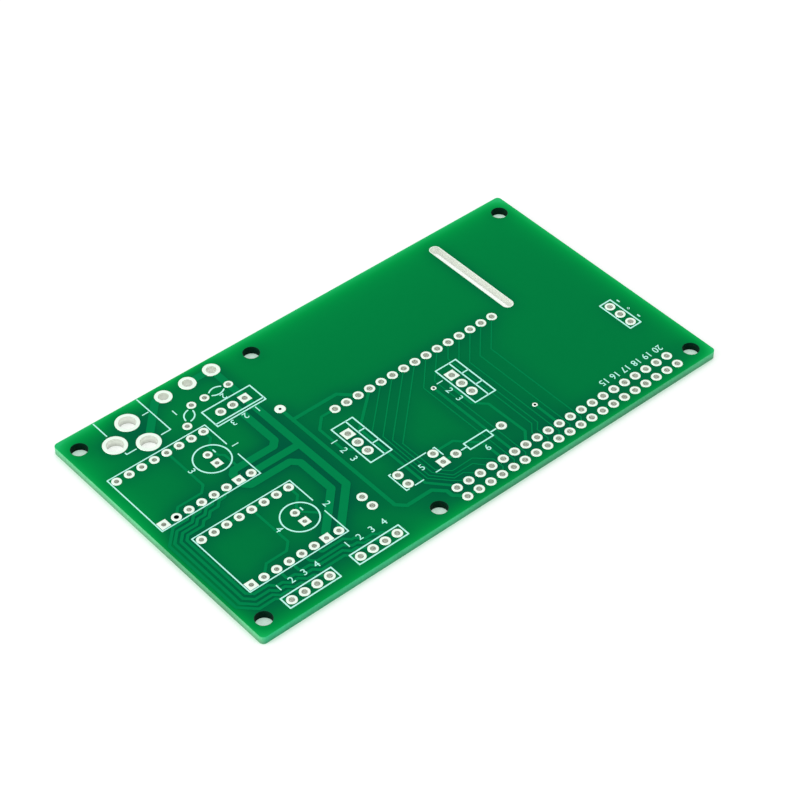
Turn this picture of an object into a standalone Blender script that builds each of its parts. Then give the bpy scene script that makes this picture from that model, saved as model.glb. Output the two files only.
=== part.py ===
"""Bare expansion board: a two-layer through-hole circuit board with nothing soldered to it.

The underside lies on z = 0 and the board is centred on the origin, with its long side on X.
Places are worked out in the layout frame, whose origin is the first pin of the two-row header,
and each object is then moved so that the board's centre is the origin. All sizes are in metres.
"""

import math
from collections import namedtuple

import bmesh
import bpy
from mathutils import Matrix, Vector

OBJECT_NAME = "expansion_board"

# Layers
BOARD_THICKNESS = 0.0016
PAD_HEIGHT = 0.00005
TRACK_HEIGHT = 0.00003
INK_HEIGHT = 0.00003
BARREL_WALL = 0.00005
LAYER_GAP = 0.00001

# Outline and mounting holes
CORNER_RADIUS = 0.0008
MOUNT_HOLE = 0.0030
MOUNT_TO_LEFT_EDGE = 0.00277
MOUNT_TO_RIGHT_EDGE = 0.00299
MOUNT_TO_FRONT_EDGE = 0.00314
MOUNT_TO_BACK_EDGE = 0.00363

# Pins
PITCH = 0.00254
HEADER_ROWS = 2
HEADER_COLUMNS = 20
MODULE_PINS = 15
DRIVER_PINS = 8
DRIVER_ROW_STEPS = 5
DRIVER_SQUARE_PINS = (0, 6)
MOTOR_PINS = 4
SIGNAL_PINS = 3

# Pads and finished holes, across
PIN_PAD = 0.00196
PIN_HOLE = 0.0010
DRIVER_PAD = 0.0018
DRIVER_HOLE = 0.00085
PART_PAD = 0.00188
PART_HOLE = 0.0009
TRANSISTOR_PAD = 0.00207
TRANSISTOR_HOLE = 0.00115
CAPACITOR_PAD = 0.00174
CAPACITOR_HOLE = 0.0008
JACK_PAD = 0.0043
JACK_HOLE = 0.0030
TERMINAL_PAD = 0.00326
TERMINAL_HOLE = 0.0018
VIA_PAD = 0.00105
VIA_HOLE = 0.0004
GROUND_VIA_PAD = 0.00196
GROUND_VIA_HOLE = 0.0005

# Places along X, from the header's first pin or from a neighbour
HEADER_TO_MOUNT = 0.005135
HEADER_END_TO_MOUNT = 0.00446
HEADER_TO_SUPPLY = 0.0130
GROUND_TO_SUPPLY = 0.00284
DRIVER_TO_LEFT_EDGE = 0.00305
JACK_TO_LEFT_EDGE = 0.0125
MOTOR_TO_SUPPLY = 0.00096
MOTOR_HEADER_GAP = 0.00635
MODULE_X = -0.00319
SLOT_TO_MODULE = 0.00447
LEFT_TRANSISTOR_X = -0.00541
RIGHT_TRANSISTOR_X = 0.01712
GATE_VIA_TO_TRANSISTOR = 0.00445
OPTOCOUPLER_X = 0.0022
RESISTOR_TO_OPTOCOUPLER = 0.00284
SIGNAL_TO_RIGHT_EDGE = 0.00589

# Places along Y, from the header's first row or from a neighbour
MOUNT_Y = 0.00112
MOTOR_Y = 0.00124
DRIVER_Y = 0.00775
DRIVER_GAP = 0.00654
REGULATOR_TO_DRIVER = 0.00188
JACK_TO_DRIVER = 0.00395
DISC_TO_REGULATOR = 0.00446
TERMINAL_TO_DISC = 0.00473
TERMINAL_TO_BACK_EDGE = 0.00258
MODULE_Y = 0.0296
SLOT_TO_BACK_EDGE = 0.00284
LEFT_TRANSISTOR_Y = 0.01855
RIGHT_TRANSISTOR_Y = 0.01791
SMALL_PARTS_Y = 0.00848
SIGNAL_Y = 0.01288
GATE_VIA_Y = 0.0226
GROUND_VIA_Y = 0.0356

# Forms that the board holds places for
SLOT_LENGTH = 0.02125
SLOT_WIDTH = 0.00232
SLOT_RIM = 0.00025
JACK_PIN_SPACING = 0.0060
JACK_SIDE_PIN = 0.0047
JACK_WIDTH = 0.0090
CAPACITOR_PINS = 0.0025
CAPACITOR_RING = 0.0065
CAPACITOR_INSET = 0.000285
UPPER_CAPACITOR_SHIFT = 0.00032
TRANSISTOR_LENGTH = 0.0101
TRANSISTOR_BACK = 0.00147
TRANSISTOR_TAB = 0.00157
TRANSISTOR_FRONT = 0.00311
TRANSISTOR_BARS = 0.00355
REGULATOR_LENGTH = 0.01018
REGULATOR_BACK = 0.00189
REGULATOR_TAB = 0.00192
REGULATOR_FRONT = 0.00252
RESISTOR_BODY = 0.00518
RESISTOR_WIDTH = 0.00172
RESISTOR_LEAD = 0.0012
OPTOCOUPLER_END = 0.0012
OPTOCOUPLER_WIDTH = 0.0045
DISC_CHORD = 0.00268
DISC_NARROW = 0.00038
DISC_BULGE = 0.00052
DRIVER_MARGIN = 0.00109
DRIVER_NOTCH = 0.0029
PIN_MARGIN = 0.00127

# Lines
INK_LINE = 0.0002
SUPPLY_TRACK = 0.00145
GROUND_TRACK = 0.00075
SUPPLY_BEND = 0.0072
LOGIC_BEND = 0.0080
LOGIC_BACK_Y = 0.00237
LOGIC_FRONT_Y = 0.00214
LOGIC_CORNER = 0.00115
LOGIC_PAD_CORNER = 0.0008
GROUND_BRANCH_Y = 0.00259
GROUND_FRONT_Y = 0.00481
GROUND_CORNER = 0.00139
GROUND_ENTRY = 0.00175
GROUND_TURN_Y = 0.00305
INK_TO_PAD = 0.00025
BAR_LENGTH = 0.00124
BAR_TO_RING = 0.0019

# Facets of the round forms
MOUNT_SIDES = 16
LARGE_SIDES = 12
PAD_SIDES = 8
PIN_HOLE_SIDES = 6
RING_SIDES = 18
CORNER_SEGMENTS = 3
ARC_STEPS = 4
SMOOTH_ANGLE = math.radians(65)

# Cutters run past the faces that they cut by this much
CUT_MARGIN = 0.0005
MERGE_DISTANCE = 0.000001

Finish = namedtuple("Finish", "color roughness metallic")
Pin = namedtuple("Pin", "x y pad hole square")

FINISHES = {
    "solder_mask": Finish((0.0, 0.20, 0.045, 1.0), 0.35, 0.0),
    "masked_track": Finish((0.0, 0.26, 0.075, 1.0), 0.35, 0.0),
    "tinned_copper": Finish((0.90, 0.89, 0.86, 1.0), 0.3, 1.0),
    "legend_ink": Finish((0.86, 0.92, 0.88, 1.0), 0.6, 0.0),
}

# Anchors that follow from the sizes, in the layout frame
HEADER_LENGTH = (HEADER_COLUMNS - 1) * PITCH
DRIVER_LENGTH = (DRIVER_PINS - 1) * PITCH
DRIVER_DEPTH = DRIVER_ROW_STEPS * PITCH
MOTOR_LENGTH = (MOTOR_PINS - 1) * PITCH

SUPPLY_X = -HEADER_TO_SUPPLY
LOGIC_X = SUPPLY_X - PITCH
GROUND_X = SUPPLY_X + GROUND_TO_SUPPLY
LOWER_DRIVER_X = SUPPLY_X - 3 * PITCH - DRIVER_LENGTH
UPPER_DRIVER_X = LOWER_DRIVER_X - PITCH
LEFT_EDGE = UPPER_DRIVER_X - DRIVER_TO_LEFT_EDGE
RIGHT_MOUNT_X = HEADER_LENGTH + HEADER_END_TO_MOUNT
RIGHT_EDGE = RIGHT_MOUNT_X + MOUNT_TO_RIGHT_EDGE
JACK_X = LEFT_EDGE + JACK_TO_LEFT_EDGE
RIGHT_MOTOR_X = SUPPLY_X - MOTOR_TO_SUPPLY - MOTOR_LENGTH
LEFT_MOTOR_X = RIGHT_MOTOR_X - MOTOR_HEADER_GAP - MOTOR_LENGTH
TILTED_DISC_X = UPPER_DRIVER_X + DRIVER_LENGTH - PITCH / 2
RESISTOR_X = OPTOCOUPLER_X + RESISTOR_TO_OPTOCOUPLER
SIGNAL_X = RIGHT_EDGE - SIGNAL_TO_RIGHT_EDGE
SLOT_X = MODULE_X + (MODULE_PINS - 1) * PITCH + SLOT_TO_MODULE

LOWER_DRIVER_Y = DRIVER_Y
UPPER_DRIVER_Y = LOWER_DRIVER_Y + DRIVER_DEPTH + DRIVER_GAP
DRIVERS_BACK = UPPER_DRIVER_Y + DRIVER_DEPTH
JACK_Y = DRIVERS_BACK + JACK_TO_DRIVER
REGULATOR_Y = DRIVERS_BACK + REGULATOR_TO_DRIVER
DISC_Y = REGULATOR_Y + DISC_TO_REGULATOR
TERMINAL_Y = DISC_Y + TERMINAL_TO_DISC
FRONT_EDGE = MOUNT_Y - MOUNT_TO_FRONT_EDGE
BACK_EDGE = TERMINAL_Y + TERMINAL_TO_BACK_EDGE
SLOT_Y = BACK_EDGE - SLOT_TO_BACK_EDGE - SLOT_LENGTH / 2

CENTRE_X = (LEFT_EDGE + RIGHT_EDGE) / 2
CENTRE_Y = (FRONT_EDGE + BACK_EDGE) / 2
TRACK_BOTTOM = BOARD_THICKNESS + LAYER_GAP
INK_BOTTOM = BOARD_THICKNESS + PAD_HEIGHT + LAYER_GAP


# Scene set-up


def clear_scene():
    """Removes every object of the start-up scene."""
    for obj in list(bpy.data.objects):
        bpy.data.objects.remove(obj)


def make_material(name):
    """A Principled material from the table of finishes."""
    finish = FINISHES[name]
    material = bpy.data.materials.new(name)
    material.use_nodes = True
    material.diffuse_color = finish.color
    shader = material.node_tree.nodes["Principled BSDF"]
    shader.inputs["Base Color"].default_value = finish.color
    shader.inputs["Roughness"].default_value = finish.roughness
    shader.inputs["Metallic"].default_value = finish.metallic
    return material


def make_collection(name):
    """A collection of the scene."""
    collection = bpy.data.collections.new(name)
    bpy.context.scene.collection.children.link(collection)
    return collection


clear_scene()
PARTS = make_collection(OBJECT_NAME)
CUTTERS = make_collection("cutters")
MATERIALS = {name: make_material(name) for name in FINISHES}


def add_object(name, mesh, x, y, z, finish):
    """A piece of the board at a point of the layout frame."""
    obj = bpy.data.objects.new(name, mesh)
    obj.location = (x - CENTRE_X, y - CENTRE_Y, z)
    if not mesh.materials:
        mesh.materials.append(MATERIALS[finish])
    PARTS.objects.link(obj)
    return obj


def make_helper(obj):
    """Turns a piece into a shape that only joins or cuts others."""
    PARTS.objects.unlink(obj)
    CUTTERS.objects.link(obj)
    obj.hide_render = True
    obj.display_type = "WIRE"
    return obj


def combine(obj, helper, operation):
    """Joins a helper to a piece, or cuts it out."""
    modifier = obj.modifiers.new(helper.name, "BOOLEAN")
    modifier.operation = operation
    modifier.solver = "EXACT"
    modifier.material_mode = "TRANSFER"
    modifier.object = helper


# Meshes


def facet_radius(across, sides):
    """Radius to the corners of a regular outline whose flats are `across` apart."""
    return across / 2 / math.cos(math.pi / sides)


def add_prism(bm, x, y, bottom, top, across, sides, stretch=0.0):
    """Adds an upright prism with flats square to X and Y, its halves moved apart along Y by `stretch`."""
    radius = facet_radius(across, sides)
    place = Matrix.Translation((x, y, (bottom + top) / 2)) @ Matrix.Rotation(math.pi / sides, 4, "Z")
    made = bmesh.ops.create_cone(
        bm, cap_ends=True, segments=sides, radius1=radius, radius2=radius, depth=top - bottom, matrix=place
    )
    for vert in made["verts"]:
        vert.co.y += math.copysign(stretch / 2, vert.co.y - y)


def finished_mesh(name, bm):
    """Mesh data from a bmesh."""
    mesh = bpy.data.meshes.new(name)
    bm.to_mesh(mesh)
    bm.free()
    mesh.shade_smooth()
    mesh.set_sharp_from_angle(angle=SMOOTH_ANGLE)
    return mesh


def prism_mesh(name, bottom, top, across, sides, stretch=0.0):
    """One upright prism round the local Z axis."""
    bm = bmesh.new()
    add_prism(bm, 0.0, 0.0, bottom, top, across, sides, stretch)
    return finished_mesh(name, bm)


def stroke(name, points, width, bottom, height, finish, closed=False):
    """A flat line of even width along a path, as an upright wall given its width by Solidify."""
    bm = bmesh.new()
    path = [bm.verts.new((x, y, 0.0)) for x, y in points]
    steps = list(zip(path, path[1:] + path[:1] if closed else path[1:]))
    edges = [bm.edges.new(step) for step in steps]
    raised = bmesh.ops.extrude_edge_only(bm, edges=edges)["geom"]
    lifted = [item for item in raised if isinstance(item, bmesh.types.BMVert)]
    bmesh.ops.translate(bm, verts=lifted, vec=(0.0, 0.0, height))
    bmesh.ops.recalc_face_normals(bm, faces=bm.faces)
    obj = add_object(name, finished_mesh(name, bm), 0.0, 0.0, bottom, finish)
    solidify = obj.modifiers.new("line_width", "SOLIDIFY")
    solidify.thickness = width
    solidify.offset = 0.0
    solidify.use_even_offset = True
    return obj


# Pins


def pin_row(x, y, count, pad, hole, step_x=PITCH, step_y=0.0, squares=()):
    """A straight row of pins from (x, y), with square pads at the given places."""
    return [Pin(x + i * step_x, y + i * step_y, pad, hole, i in squares) for i in range(count)]


def part_row(x, y, count, step_x=PITCH, step_y=0.0, squares=()):
    """A row of pins for a small soldered part."""
    return pin_row(x, y, count, PART_PAD, PART_HOLE, step_x, step_y, squares)


def driver_pins(x, y):
    """Both rows of one driver socket."""
    front = pin_row(x, y, DRIVER_PINS, DRIVER_PAD, DRIVER_HOLE, squares=DRIVER_SQUARE_PINS)
    return front + pin_row(x, y + DRIVER_DEPTH, DRIVER_PINS, DRIVER_PAD, DRIVER_HOLE)


def header_pins():
    """Pins of the long header, the module row, the driver sockets and the small headers."""
    pins = []
    for row in range(HEADER_ROWS):
        pins += pin_row(0.0, row * PITCH, HEADER_COLUMNS, PIN_PAD, PIN_HOLE)
    pins += pin_row(MODULE_X, MODULE_Y, MODULE_PINS, PIN_PAD, PIN_HOLE)
    pins += driver_pins(UPPER_DRIVER_X, UPPER_DRIVER_Y)
    pins += driver_pins(LOWER_DRIVER_X, LOWER_DRIVER_Y)
    return pins + LEFT_MOTOR_PINS + RIGHT_MOTOR_PINS + SIGNAL_HEADER_PINS


def small_pins():
    """Pins of the disc capacitors, the resistor, the jumper pair and the vias."""
    return [
        *TILTED_DISC_PINS,
        *LEVEL_DISC_PINS,
        Pin(GROUND_X, GROUND_VIA_Y, GROUND_VIA_PAD, GROUND_VIA_HOLE, False),
        Pin(RIGHT_TRANSISTOR_X - GATE_VIA_TO_TRANSISTOR, GATE_VIA_Y, VIA_PAD, VIA_HOLE, False),
        Pin(9 * PITCH, SMALL_PARTS_Y, VIA_PAD, VIA_HOLE, False),
        *part_row(RESISTOR_X, SMALL_PARTS_Y, 2, 4 * PITCH),
        *part_row(SUPPLY_X, SMALL_PARTS_Y, 2, 0.0, PITCH),
    ]


def transistor_pins(x, y):
    """Three pins of a power transistor, square pad at the back."""
    return pin_row(x, y, 3, TRANSISTOR_PAD, TRANSISTOR_HOLE, 0.0, PITCH, (2,))


def capacitor_pins(driver_x, driver_y, shift):
    """Two pins of the round capacitor inside a driver socket."""
    x = driver_x + 6 * PITCH - CAPACITOR_INSET
    y = driver_y + DRIVER_DEPTH / 2 + shift - CAPACITOR_PINS / 2
    return pin_row(x, y, 2, CAPACITOR_PAD, CAPACITOR_HOLE, 0.0, CAPACITOR_PINS, (0,))


DISC_SLANT = 2 * PITCH * math.sqrt(0.5)
TILTED_DISC_PINS = [
    Pin(TILTED_DISC_X, DISC_Y - DISC_SLANT, CAPACITOR_PAD, CAPACITOR_HOLE, False),
    Pin(TILTED_DISC_X + DISC_SLANT, DISC_Y, CAPACITOR_PAD, CAPACITOR_HOLE, False),
]
LEVEL_DISC_PINS = pin_row(SUPPLY_X - 2 * PITCH, DISC_Y, 2, CAPACITOR_PAD, CAPACITOR_HOLE, 2 * PITCH)
JACK_PINS = [
    Pin(JACK_X, JACK_Y, JACK_PAD, JACK_HOLE, False),
    Pin(JACK_X, JACK_Y + JACK_PIN_SPACING, JACK_PAD, JACK_HOLE, False),
    Pin(JACK_X - JACK_SIDE_PIN, JACK_Y + JACK_PIN_SPACING / 2, JACK_PAD, JACK_HOLE, False),
]
TERMINAL_PINS = pin_row(SUPPLY_X - 4 * PITCH, TERMINAL_Y, 3, TERMINAL_PAD, TERMINAL_HOLE, 2 * PITCH)
REGULATOR_PINS = part_row(SUPPLY_X - 2 * PITCH, REGULATOR_Y, 3, squares=(2,))
LEFT_TRANSISTOR_PINS = transistor_pins(LEFT_TRANSISTOR_X, LEFT_TRANSISTOR_Y)
RIGHT_TRANSISTOR_PINS = transistor_pins(RIGHT_TRANSISTOR_X, RIGHT_TRANSISTOR_Y)
OPTOCOUPLER_PINS = [
    *part_row(OPTOCOUPLER_X, SMALL_PARTS_Y, 2, 0.0, PITCH, (0,)),
    *part_row(OPTOCOUPLER_X - 3 * PITCH, SMALL_PARTS_Y, 2, 0.0, PITCH),
]
LEFT_MOTOR_PINS = pin_row(LEFT_MOTOR_X, MOTOR_Y, MOTOR_PINS, PIN_PAD, PIN_HOLE)
RIGHT_MOTOR_PINS = pin_row(RIGHT_MOTOR_X, MOTOR_Y, MOTOR_PINS, PIN_PAD, PIN_HOLE)
SIGNAL_HEADER_PINS = pin_row(SIGNAL_X, SIGNAL_Y, SIGNAL_PINS, PIN_PAD, PIN_HOLE, 0.0, PITCH)
UPPER_CAPACITOR_PINS = capacitor_pins(UPPER_DRIVER_X, UPPER_DRIVER_Y, UPPER_CAPACITOR_SHIFT)
LOWER_CAPACITOR_PINS = capacitor_pins(LOWER_DRIVER_X, LOWER_DRIVER_Y, 0.0)

FUSED_PINS = header_pins() + small_pins()
EYELETS = {
    "jack_eyelet": JACK_PINS,
    "terminal_eyelet": TERMINAL_PINS,
    "regulator_eyelet": REGULATOR_PINS,
    "left_transistor_eyelet": LEFT_TRANSISTOR_PINS,
    "right_transistor_eyelet": RIGHT_TRANSISTOR_PINS,
    "optocoupler_eyelet": OPTOCOUPLER_PINS,
    "upper_capacitor_eyelet": UPPER_CAPACITOR_PINS,
    "lower_capacitor_eyelet": LOWER_CAPACITOR_PINS,
}


# Board


def eyelet_sides(pin):
    """Facets of an eyelet: more on the large ones."""
    return LARGE_SIDES if pin.hole >= TERMINAL_HOLE else PAD_SIDES


def drill_mesh():
    """Every hole of the board but the slot, as one cutter."""
    bottom, top = -CUT_MARGIN, BOARD_THICKNESS + PAD_HEIGHT + CUT_MARGIN
    bm = bmesh.new()
    for pin in FUSED_PINS:
        add_prism(bm, pin.x, pin.y, bottom, top, pin.hole, PIN_HOLE_SIDES)
    for pins in EYELETS.values():
        for pin in pins:
            drill = pin.hole + 2 * (BARREL_WALL + LAYER_GAP)
            add_prism(bm, pin.x, pin.y, bottom, top, drill, eyelet_sides(pin))
    for x in (LEFT_EDGE + MOUNT_TO_LEFT_EDGE, -HEADER_TO_MOUNT, RIGHT_MOUNT_X):
        for y in (MOUNT_Y, BACK_EDGE - MOUNT_TO_BACK_EDGE):
            add_prism(bm, x, y, bottom, top, MOUNT_HOLE, MOUNT_SIDES)
    return finished_mesh("drills", bm)


def fused_pad_mesh():
    """The raised pads that belong to the board's own node."""
    bm = bmesh.new()
    for pin in FUSED_PINS:
        sides = 4 if pin.square else PAD_SIDES
        add_prism(bm, pin.x, pin.y, BOARD_THICKNESS / 2, BOARD_THICKNESS + PAD_HEIGHT, pin.pad, sides)
    return finished_mesh("fused_pads", bm)


def make_board():
    """The drilled laminate, with the pads of the headers and small parts raised on it."""
    size_x = RIGHT_EDGE - LEFT_EDGE
    size_y = BACK_EDGE - FRONT_EDGE
    bm = bmesh.new()
    bmesh.ops.create_cube(bm, size=1.0, matrix=Matrix.Diagonal((size_x, size_y, BOARD_THICKNESS, 1.0)))
    upright = [e for e in bm.edges if abs(e.verts[0].co.z - e.verts[1].co.z) > BOARD_THICKNESS / 2]
    bmesh.ops.bevel(
        bm, geom=upright, offset=CORNER_RADIUS, segments=CORNER_SEGMENTS, profile=0.5, affect="EDGES"
    )
    board = add_object(
        "board", finished_mesh("board", bm), CENTRE_X, CENTRE_Y, BOARD_THICKNESS / 2, "solder_mask"
    )
    pads = make_helper(add_object("fused_pads", fused_pad_mesh(), 0.0, 0.0, 0.0, "tinned_copper"))
    drills = make_helper(add_object("drills", drill_mesh(), 0.0, 0.0, 0.0, "tinned_copper"))
    clearance = 2 * (BARREL_WALL + LAYER_GAP)
    milling = slot_prism("slot_milling", -CUT_MARGIN, BOARD_THICKNESS + CUT_MARGIN, clearance - 2 * SLOT_RIM)
    combine(board, pads, "UNION")
    combine(board, drills, "DIFFERENCE")
    combine(board, make_helper(milling), "DIFFERENCE")


def slot_prism(name, bottom, top, extra):
    """The slot's outline as an upright prism, wider and longer than its flange by `extra`."""
    mesh = prism_mesh(name, bottom, top, SLOT_WIDTH + extra, LARGE_SIDES, SLOT_LENGTH - SLOT_WIDTH)
    return add_object(name, mesh, SLOT_X, SLOT_Y, 0.0, "tinned_copper")


# Plated holes: a barrel through the board with a flange on its top face


def turned_eyelet(name, pin):
    """A round eyelet: its half section turned by a Screw modifier."""
    sides = eyelet_sides(pin)
    inner = facet_radius(pin.hole, sides)
    barrel = facet_radius(pin.hole + 2 * BARREL_WALL, sides)
    flange = facet_radius(pin.pad, sides)
    top = BOARD_THICKNESS + PAD_HEIGHT
    seat = BOARD_THICKNESS + LAYER_GAP
    section = [(flange, top), (flange, seat), (barrel, seat), (barrel, 0.0), (inner, 0.0), (inner, top)]
    turn = Matrix.Rotation(math.pi / sides, 3, "Z")
    bm = bmesh.new()
    ring = [bm.verts.new(turn @ Vector((x, 0.0, z))) for x, z in section]
    for pair in zip(ring, ring[1:] + ring[:1]):
        bm.edges.new(pair)
    eyelet = add_object(name, finished_mesh(name, bm), pin.x, pin.y, 0.0, "tinned_copper")
    screw = eyelet.modifiers.new("turning", "SCREW")
    screw.steps = sides
    screw.render_steps = sides
    screw.use_merge_vertices = True
    screw.merge_threshold = MERGE_DISTANCE
    return eyelet


def square_eyelet(name, pin):
    """An eyelet with a square flange: plate and barrel joined, then drilled."""
    top = BOARD_THICKNESS + PAD_HEIGHT
    seat = BOARD_THICKNESS + LAYER_GAP
    sides = eyelet_sides(pin)
    eyelet = add_object(name, prism_mesh(name, seat, top, pin.pad, 4), pin.x, pin.y, 0.0, "tinned_copper")
    barrel = prism_mesh(name + "_barrel", 0.0, (seat + top) / 2, pin.hole + 2 * BARREL_WALL, sides)
    drill = prism_mesh(name + "_drill", -CUT_MARGIN, top + CUT_MARGIN, pin.hole, sides)
    for mesh, operation in ((barrel, "UNION"), (drill, "DIFFERENCE")):
        helper = make_helper(add_object(mesh.name, mesh, pin.x, pin.y, 0.0, "tinned_copper"))
        combine(eyelet, helper, operation)
    return eyelet


def make_eyelets():
    """The plated holes of the large and the three-pin parts, each one its own piece."""
    for group, pins in EYELETS.items():
        for number, pin in enumerate(pins, start=1):
            make = square_eyelet if pin.square else turned_eyelet
            make(f"{group}_{number}", pin)


def make_slot_lining():
    """The plated wall of the long slot, with its flange."""
    top = BOARD_THICKNESS + PAD_HEIGHT
    seat = BOARD_THICKNESS + LAYER_GAP
    lining = slot_prism("slot_lining", seat, top, 0.0)
    barrel = slot_prism("slot_barrel", 0.0, (seat + top) / 2, 2 * BARREL_WALL - 2 * SLOT_RIM)
    opening = slot_prism("slot_opening", -CUT_MARGIN, top + CUT_MARGIN, -2 * SLOT_RIM)
    combine(lining, make_helper(barrel), "UNION")
    combine(lining, make_helper(opening), "DIFFERENCE")


# Legend: printed outlines of the parts that the board is made for


def ink(name, points, closed=False):
    """A printed line."""
    return stroke(name, points, INK_LINE, INK_BOTTOM, INK_HEIGHT, "legend_ink", closed)


def box_path(left, front, right, back):
    """The corners of an upright rectangle, from the front left one."""
    return [(left, front), (right, front), (right, back), (left, back)]


def make_driver_outline(name, x, y):
    """Outline of a driver module, open at the notch in its right side."""
    left, right = x - DRIVER_MARGIN, x + DRIVER_LENGTH + DRIVER_MARGIN
    front, back = y - DRIVER_MARGIN, y + DRIVER_DEPTH + DRIVER_MARGIN
    middle = (front + back) / 2
    corners = [(right, back), (left, back), (left, front), (right, front)]
    ink(name, [(right, middle + DRIVER_NOTCH / 2), *corners, (right, middle - DRIVER_NOTCH / 2)])


def make_capacitor_outline(name, pins):
    """Ring of a round capacitor, and the bar beside its minus pin."""
    x, y = pins[0].x, (pins[0].y + pins[1].y) / 2
    turns = [2 * math.pi * i / RING_SIDES for i in range(RING_SIDES)]
    radius = CAPACITOR_RING / 2
    ink(name, [(x + radius * math.cos(turn), y + radius * math.sin(turn)) for turn in turns], True)
    bar_x = x + radius - BAR_TO_RING
    ink(name + "_bar", [(bar_x, pins[1].y - BAR_LENGTH / 2), (bar_x, pins[1].y + BAR_LENGTH / 2)])


def make_jack_outline():
    """Three lines round the power jack, broken at its pins and open at the board's back edge."""
    left, right = JACK_X - JACK_WIDTH / 2, JACK_X + JACK_WIDTH / 2
    clear = JACK_PAD / 2 + INK_TO_PAD
    side_y = JACK_PINS[2].y
    edge = BACK_EDGE - INK_LINE / 2
    ink("jack_outline_back_left", [(left, side_y + clear), (left, edge)])
    ink("jack_outline_left", [(left, side_y - clear), (left, JACK_Y), (JACK_X - clear, JACK_Y)])
    ink("jack_outline_right", [(JACK_X + clear, JACK_Y), (right, JACK_Y), (right, edge)])


def make_regulator_outline():
    """Body of the regulator, with the line of its tab along the front."""
    x = REGULATOR_PINS[1].x
    left, right = x - REGULATOR_LENGTH / 2, x + REGULATOR_LENGTH / 2
    body = box_path(left, REGULATOR_Y - REGULATOR_FRONT, right, REGULATOR_Y + REGULATOR_BACK)
    tab_y = REGULATOR_Y - REGULATOR_TAB
    outline = ink("regulator_outline", body, True)
    combine(outline, make_helper(ink("regulator_tab_line", [(left, tab_y), (right, tab_y)])), "UNION")


def make_transistor_outline(name, pins):
    """Body of a power transistor standing on end, with its tab on the right crossed by two bars."""
    x, y = pins[1].x, pins[1].y
    front, back = y - TRANSISTOR_LENGTH / 2, y + TRANSISTOR_LENGTH / 2
    tab_x, right = x + TRANSISTOR_TAB, x + TRANSISTOR_FRONT
    outline = ink(name, box_path(x - TRANSISTOR_BACK, front, right, back), True)
    lines = [[(tab_x, front), (tab_x, back)]]
    for side in (-1, 1):
        bar_y = y + side * TRANSISTOR_BARS / 2
        lines.append([(tab_x, bar_y), (right, bar_y)])
    for number, line in enumerate(lines, start=1):
        combine(outline, make_helper(ink(f"{name}_line_{number}", line)), "UNION")


def make_optocoupler_outline():
    """Outline of the optocoupler, broken at its square pad and at its notch."""
    square = OPTOCOUPLER_PINS[0]
    left = square.x - 3 * PITCH - OPTOCOUPLER_END
    right = square.x + OPTOCOUPLER_END
    middle = square.y + PITCH / 2
    front, back = middle - OPTOCOUPLER_WIDTH / 2, middle + OPTOCOUPLER_WIDTH / 2
    clear = PART_PAD / 2 + INK_TO_PAD
    body_middle = square.x - 3 * PITCH / 2
    notch = [body_middle - OPTOCOUPLER_END, body_middle + OPTOCOUPLER_END]
    turn = [(right, square.y + clear), (right, back), (left, back), (left, front), (notch[0], front)]
    ink("optocoupler_outline", turn)
    ink("optocoupler_outline_front", [(notch[1], front), (square.x - clear, front)])


def make_resistor_outline():
    """Body of the resistor with a lead at each end."""
    x = RESISTOR_X + 2 * PITCH
    y = SMALL_PARTS_Y
    left, right = x - RESISTOR_BODY / 2, x + RESISTOR_BODY / 2
    body = box_path(left, y - RESISTOR_WIDTH / 2, right, y + RESISTOR_WIDTH / 2)
    outline = ink("resistor_outline", body, True)
    leads = [[(left, y), (left - RESISTOR_LEAD, y)], [(right, y), (right + RESISTOR_LEAD, y)]]
    for number, line in enumerate(leads, start=1):
        combine(outline, make_helper(ink(f"resistor_lead_{number}", line)), "UNION")


def make_disc_outline(name, pins):
    """Two shallow arcs on either side of a disc capacitor's leads."""
    start, end = (Vector((pin.x, pin.y)) for pin in pins)
    along = (end - start).normalized()
    for number, side in enumerate((-1, 1), start=1):
        outwards = side * Vector((along.y, -along.x))
        points = []
        for step in range(ARC_STEPS + 1):
            share = step / ARC_STEPS
            reach = DISC_NARROW + DISC_BULGE * 4 * share * (1 - share)
            points.append((start + end) / 2 + along * DISC_CHORD * (share - 0.5) + outwards * reach)
        ink(f"{name}_{number}", points)


def make_header_outline(name, first, last):
    """Box round a single row of header pins."""
    ink(
        name,
        box_path(first.x - PIN_MARGIN, first.y - PIN_MARGIN, last.x + PIN_MARGIN, last.y + PIN_MARGIN),
        True,
    )


def make_legend():
    """All printed outlines."""
    make_driver_outline("upper_driver_outline", UPPER_DRIVER_X, UPPER_DRIVER_Y)
    make_driver_outline("lower_driver_outline", LOWER_DRIVER_X, LOWER_DRIVER_Y)
    make_capacitor_outline("upper_capacitor_outline", UPPER_CAPACITOR_PINS)
    make_capacitor_outline("lower_capacitor_outline", LOWER_CAPACITOR_PINS)
    make_jack_outline()
    make_regulator_outline()
    make_transistor_outline("left_transistor_outline", LEFT_TRANSISTOR_PINS)
    make_transistor_outline("right_transistor_outline", RIGHT_TRANSISTOR_PINS)
    make_optocoupler_outline()
    make_resistor_outline()
    make_disc_outline("tilted_disc_outline", TILTED_DISC_PINS)
    make_disc_outline("level_disc_outline", LEVEL_DISC_PINS)
    make_header_outline("left_motor_outline", LEFT_MOTOR_PINS[0], LEFT_MOTOR_PINS[-1])
    make_header_outline("right_motor_outline", RIGHT_MOTOR_PINS[0], RIGHT_MOTOR_PINS[-1])
    make_header_outline("signal_outline", SIGNAL_HEADER_PINS[0], SIGNAL_HEADER_PINS[-1])


# Supply tracks: the wide copper lines under the solder mask


def track(name, points, width):
    """A copper line under the mask."""
    return stroke(name, points, width, TRACK_BOTTOM, TRACK_HEIGHT, "masked_track")


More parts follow.
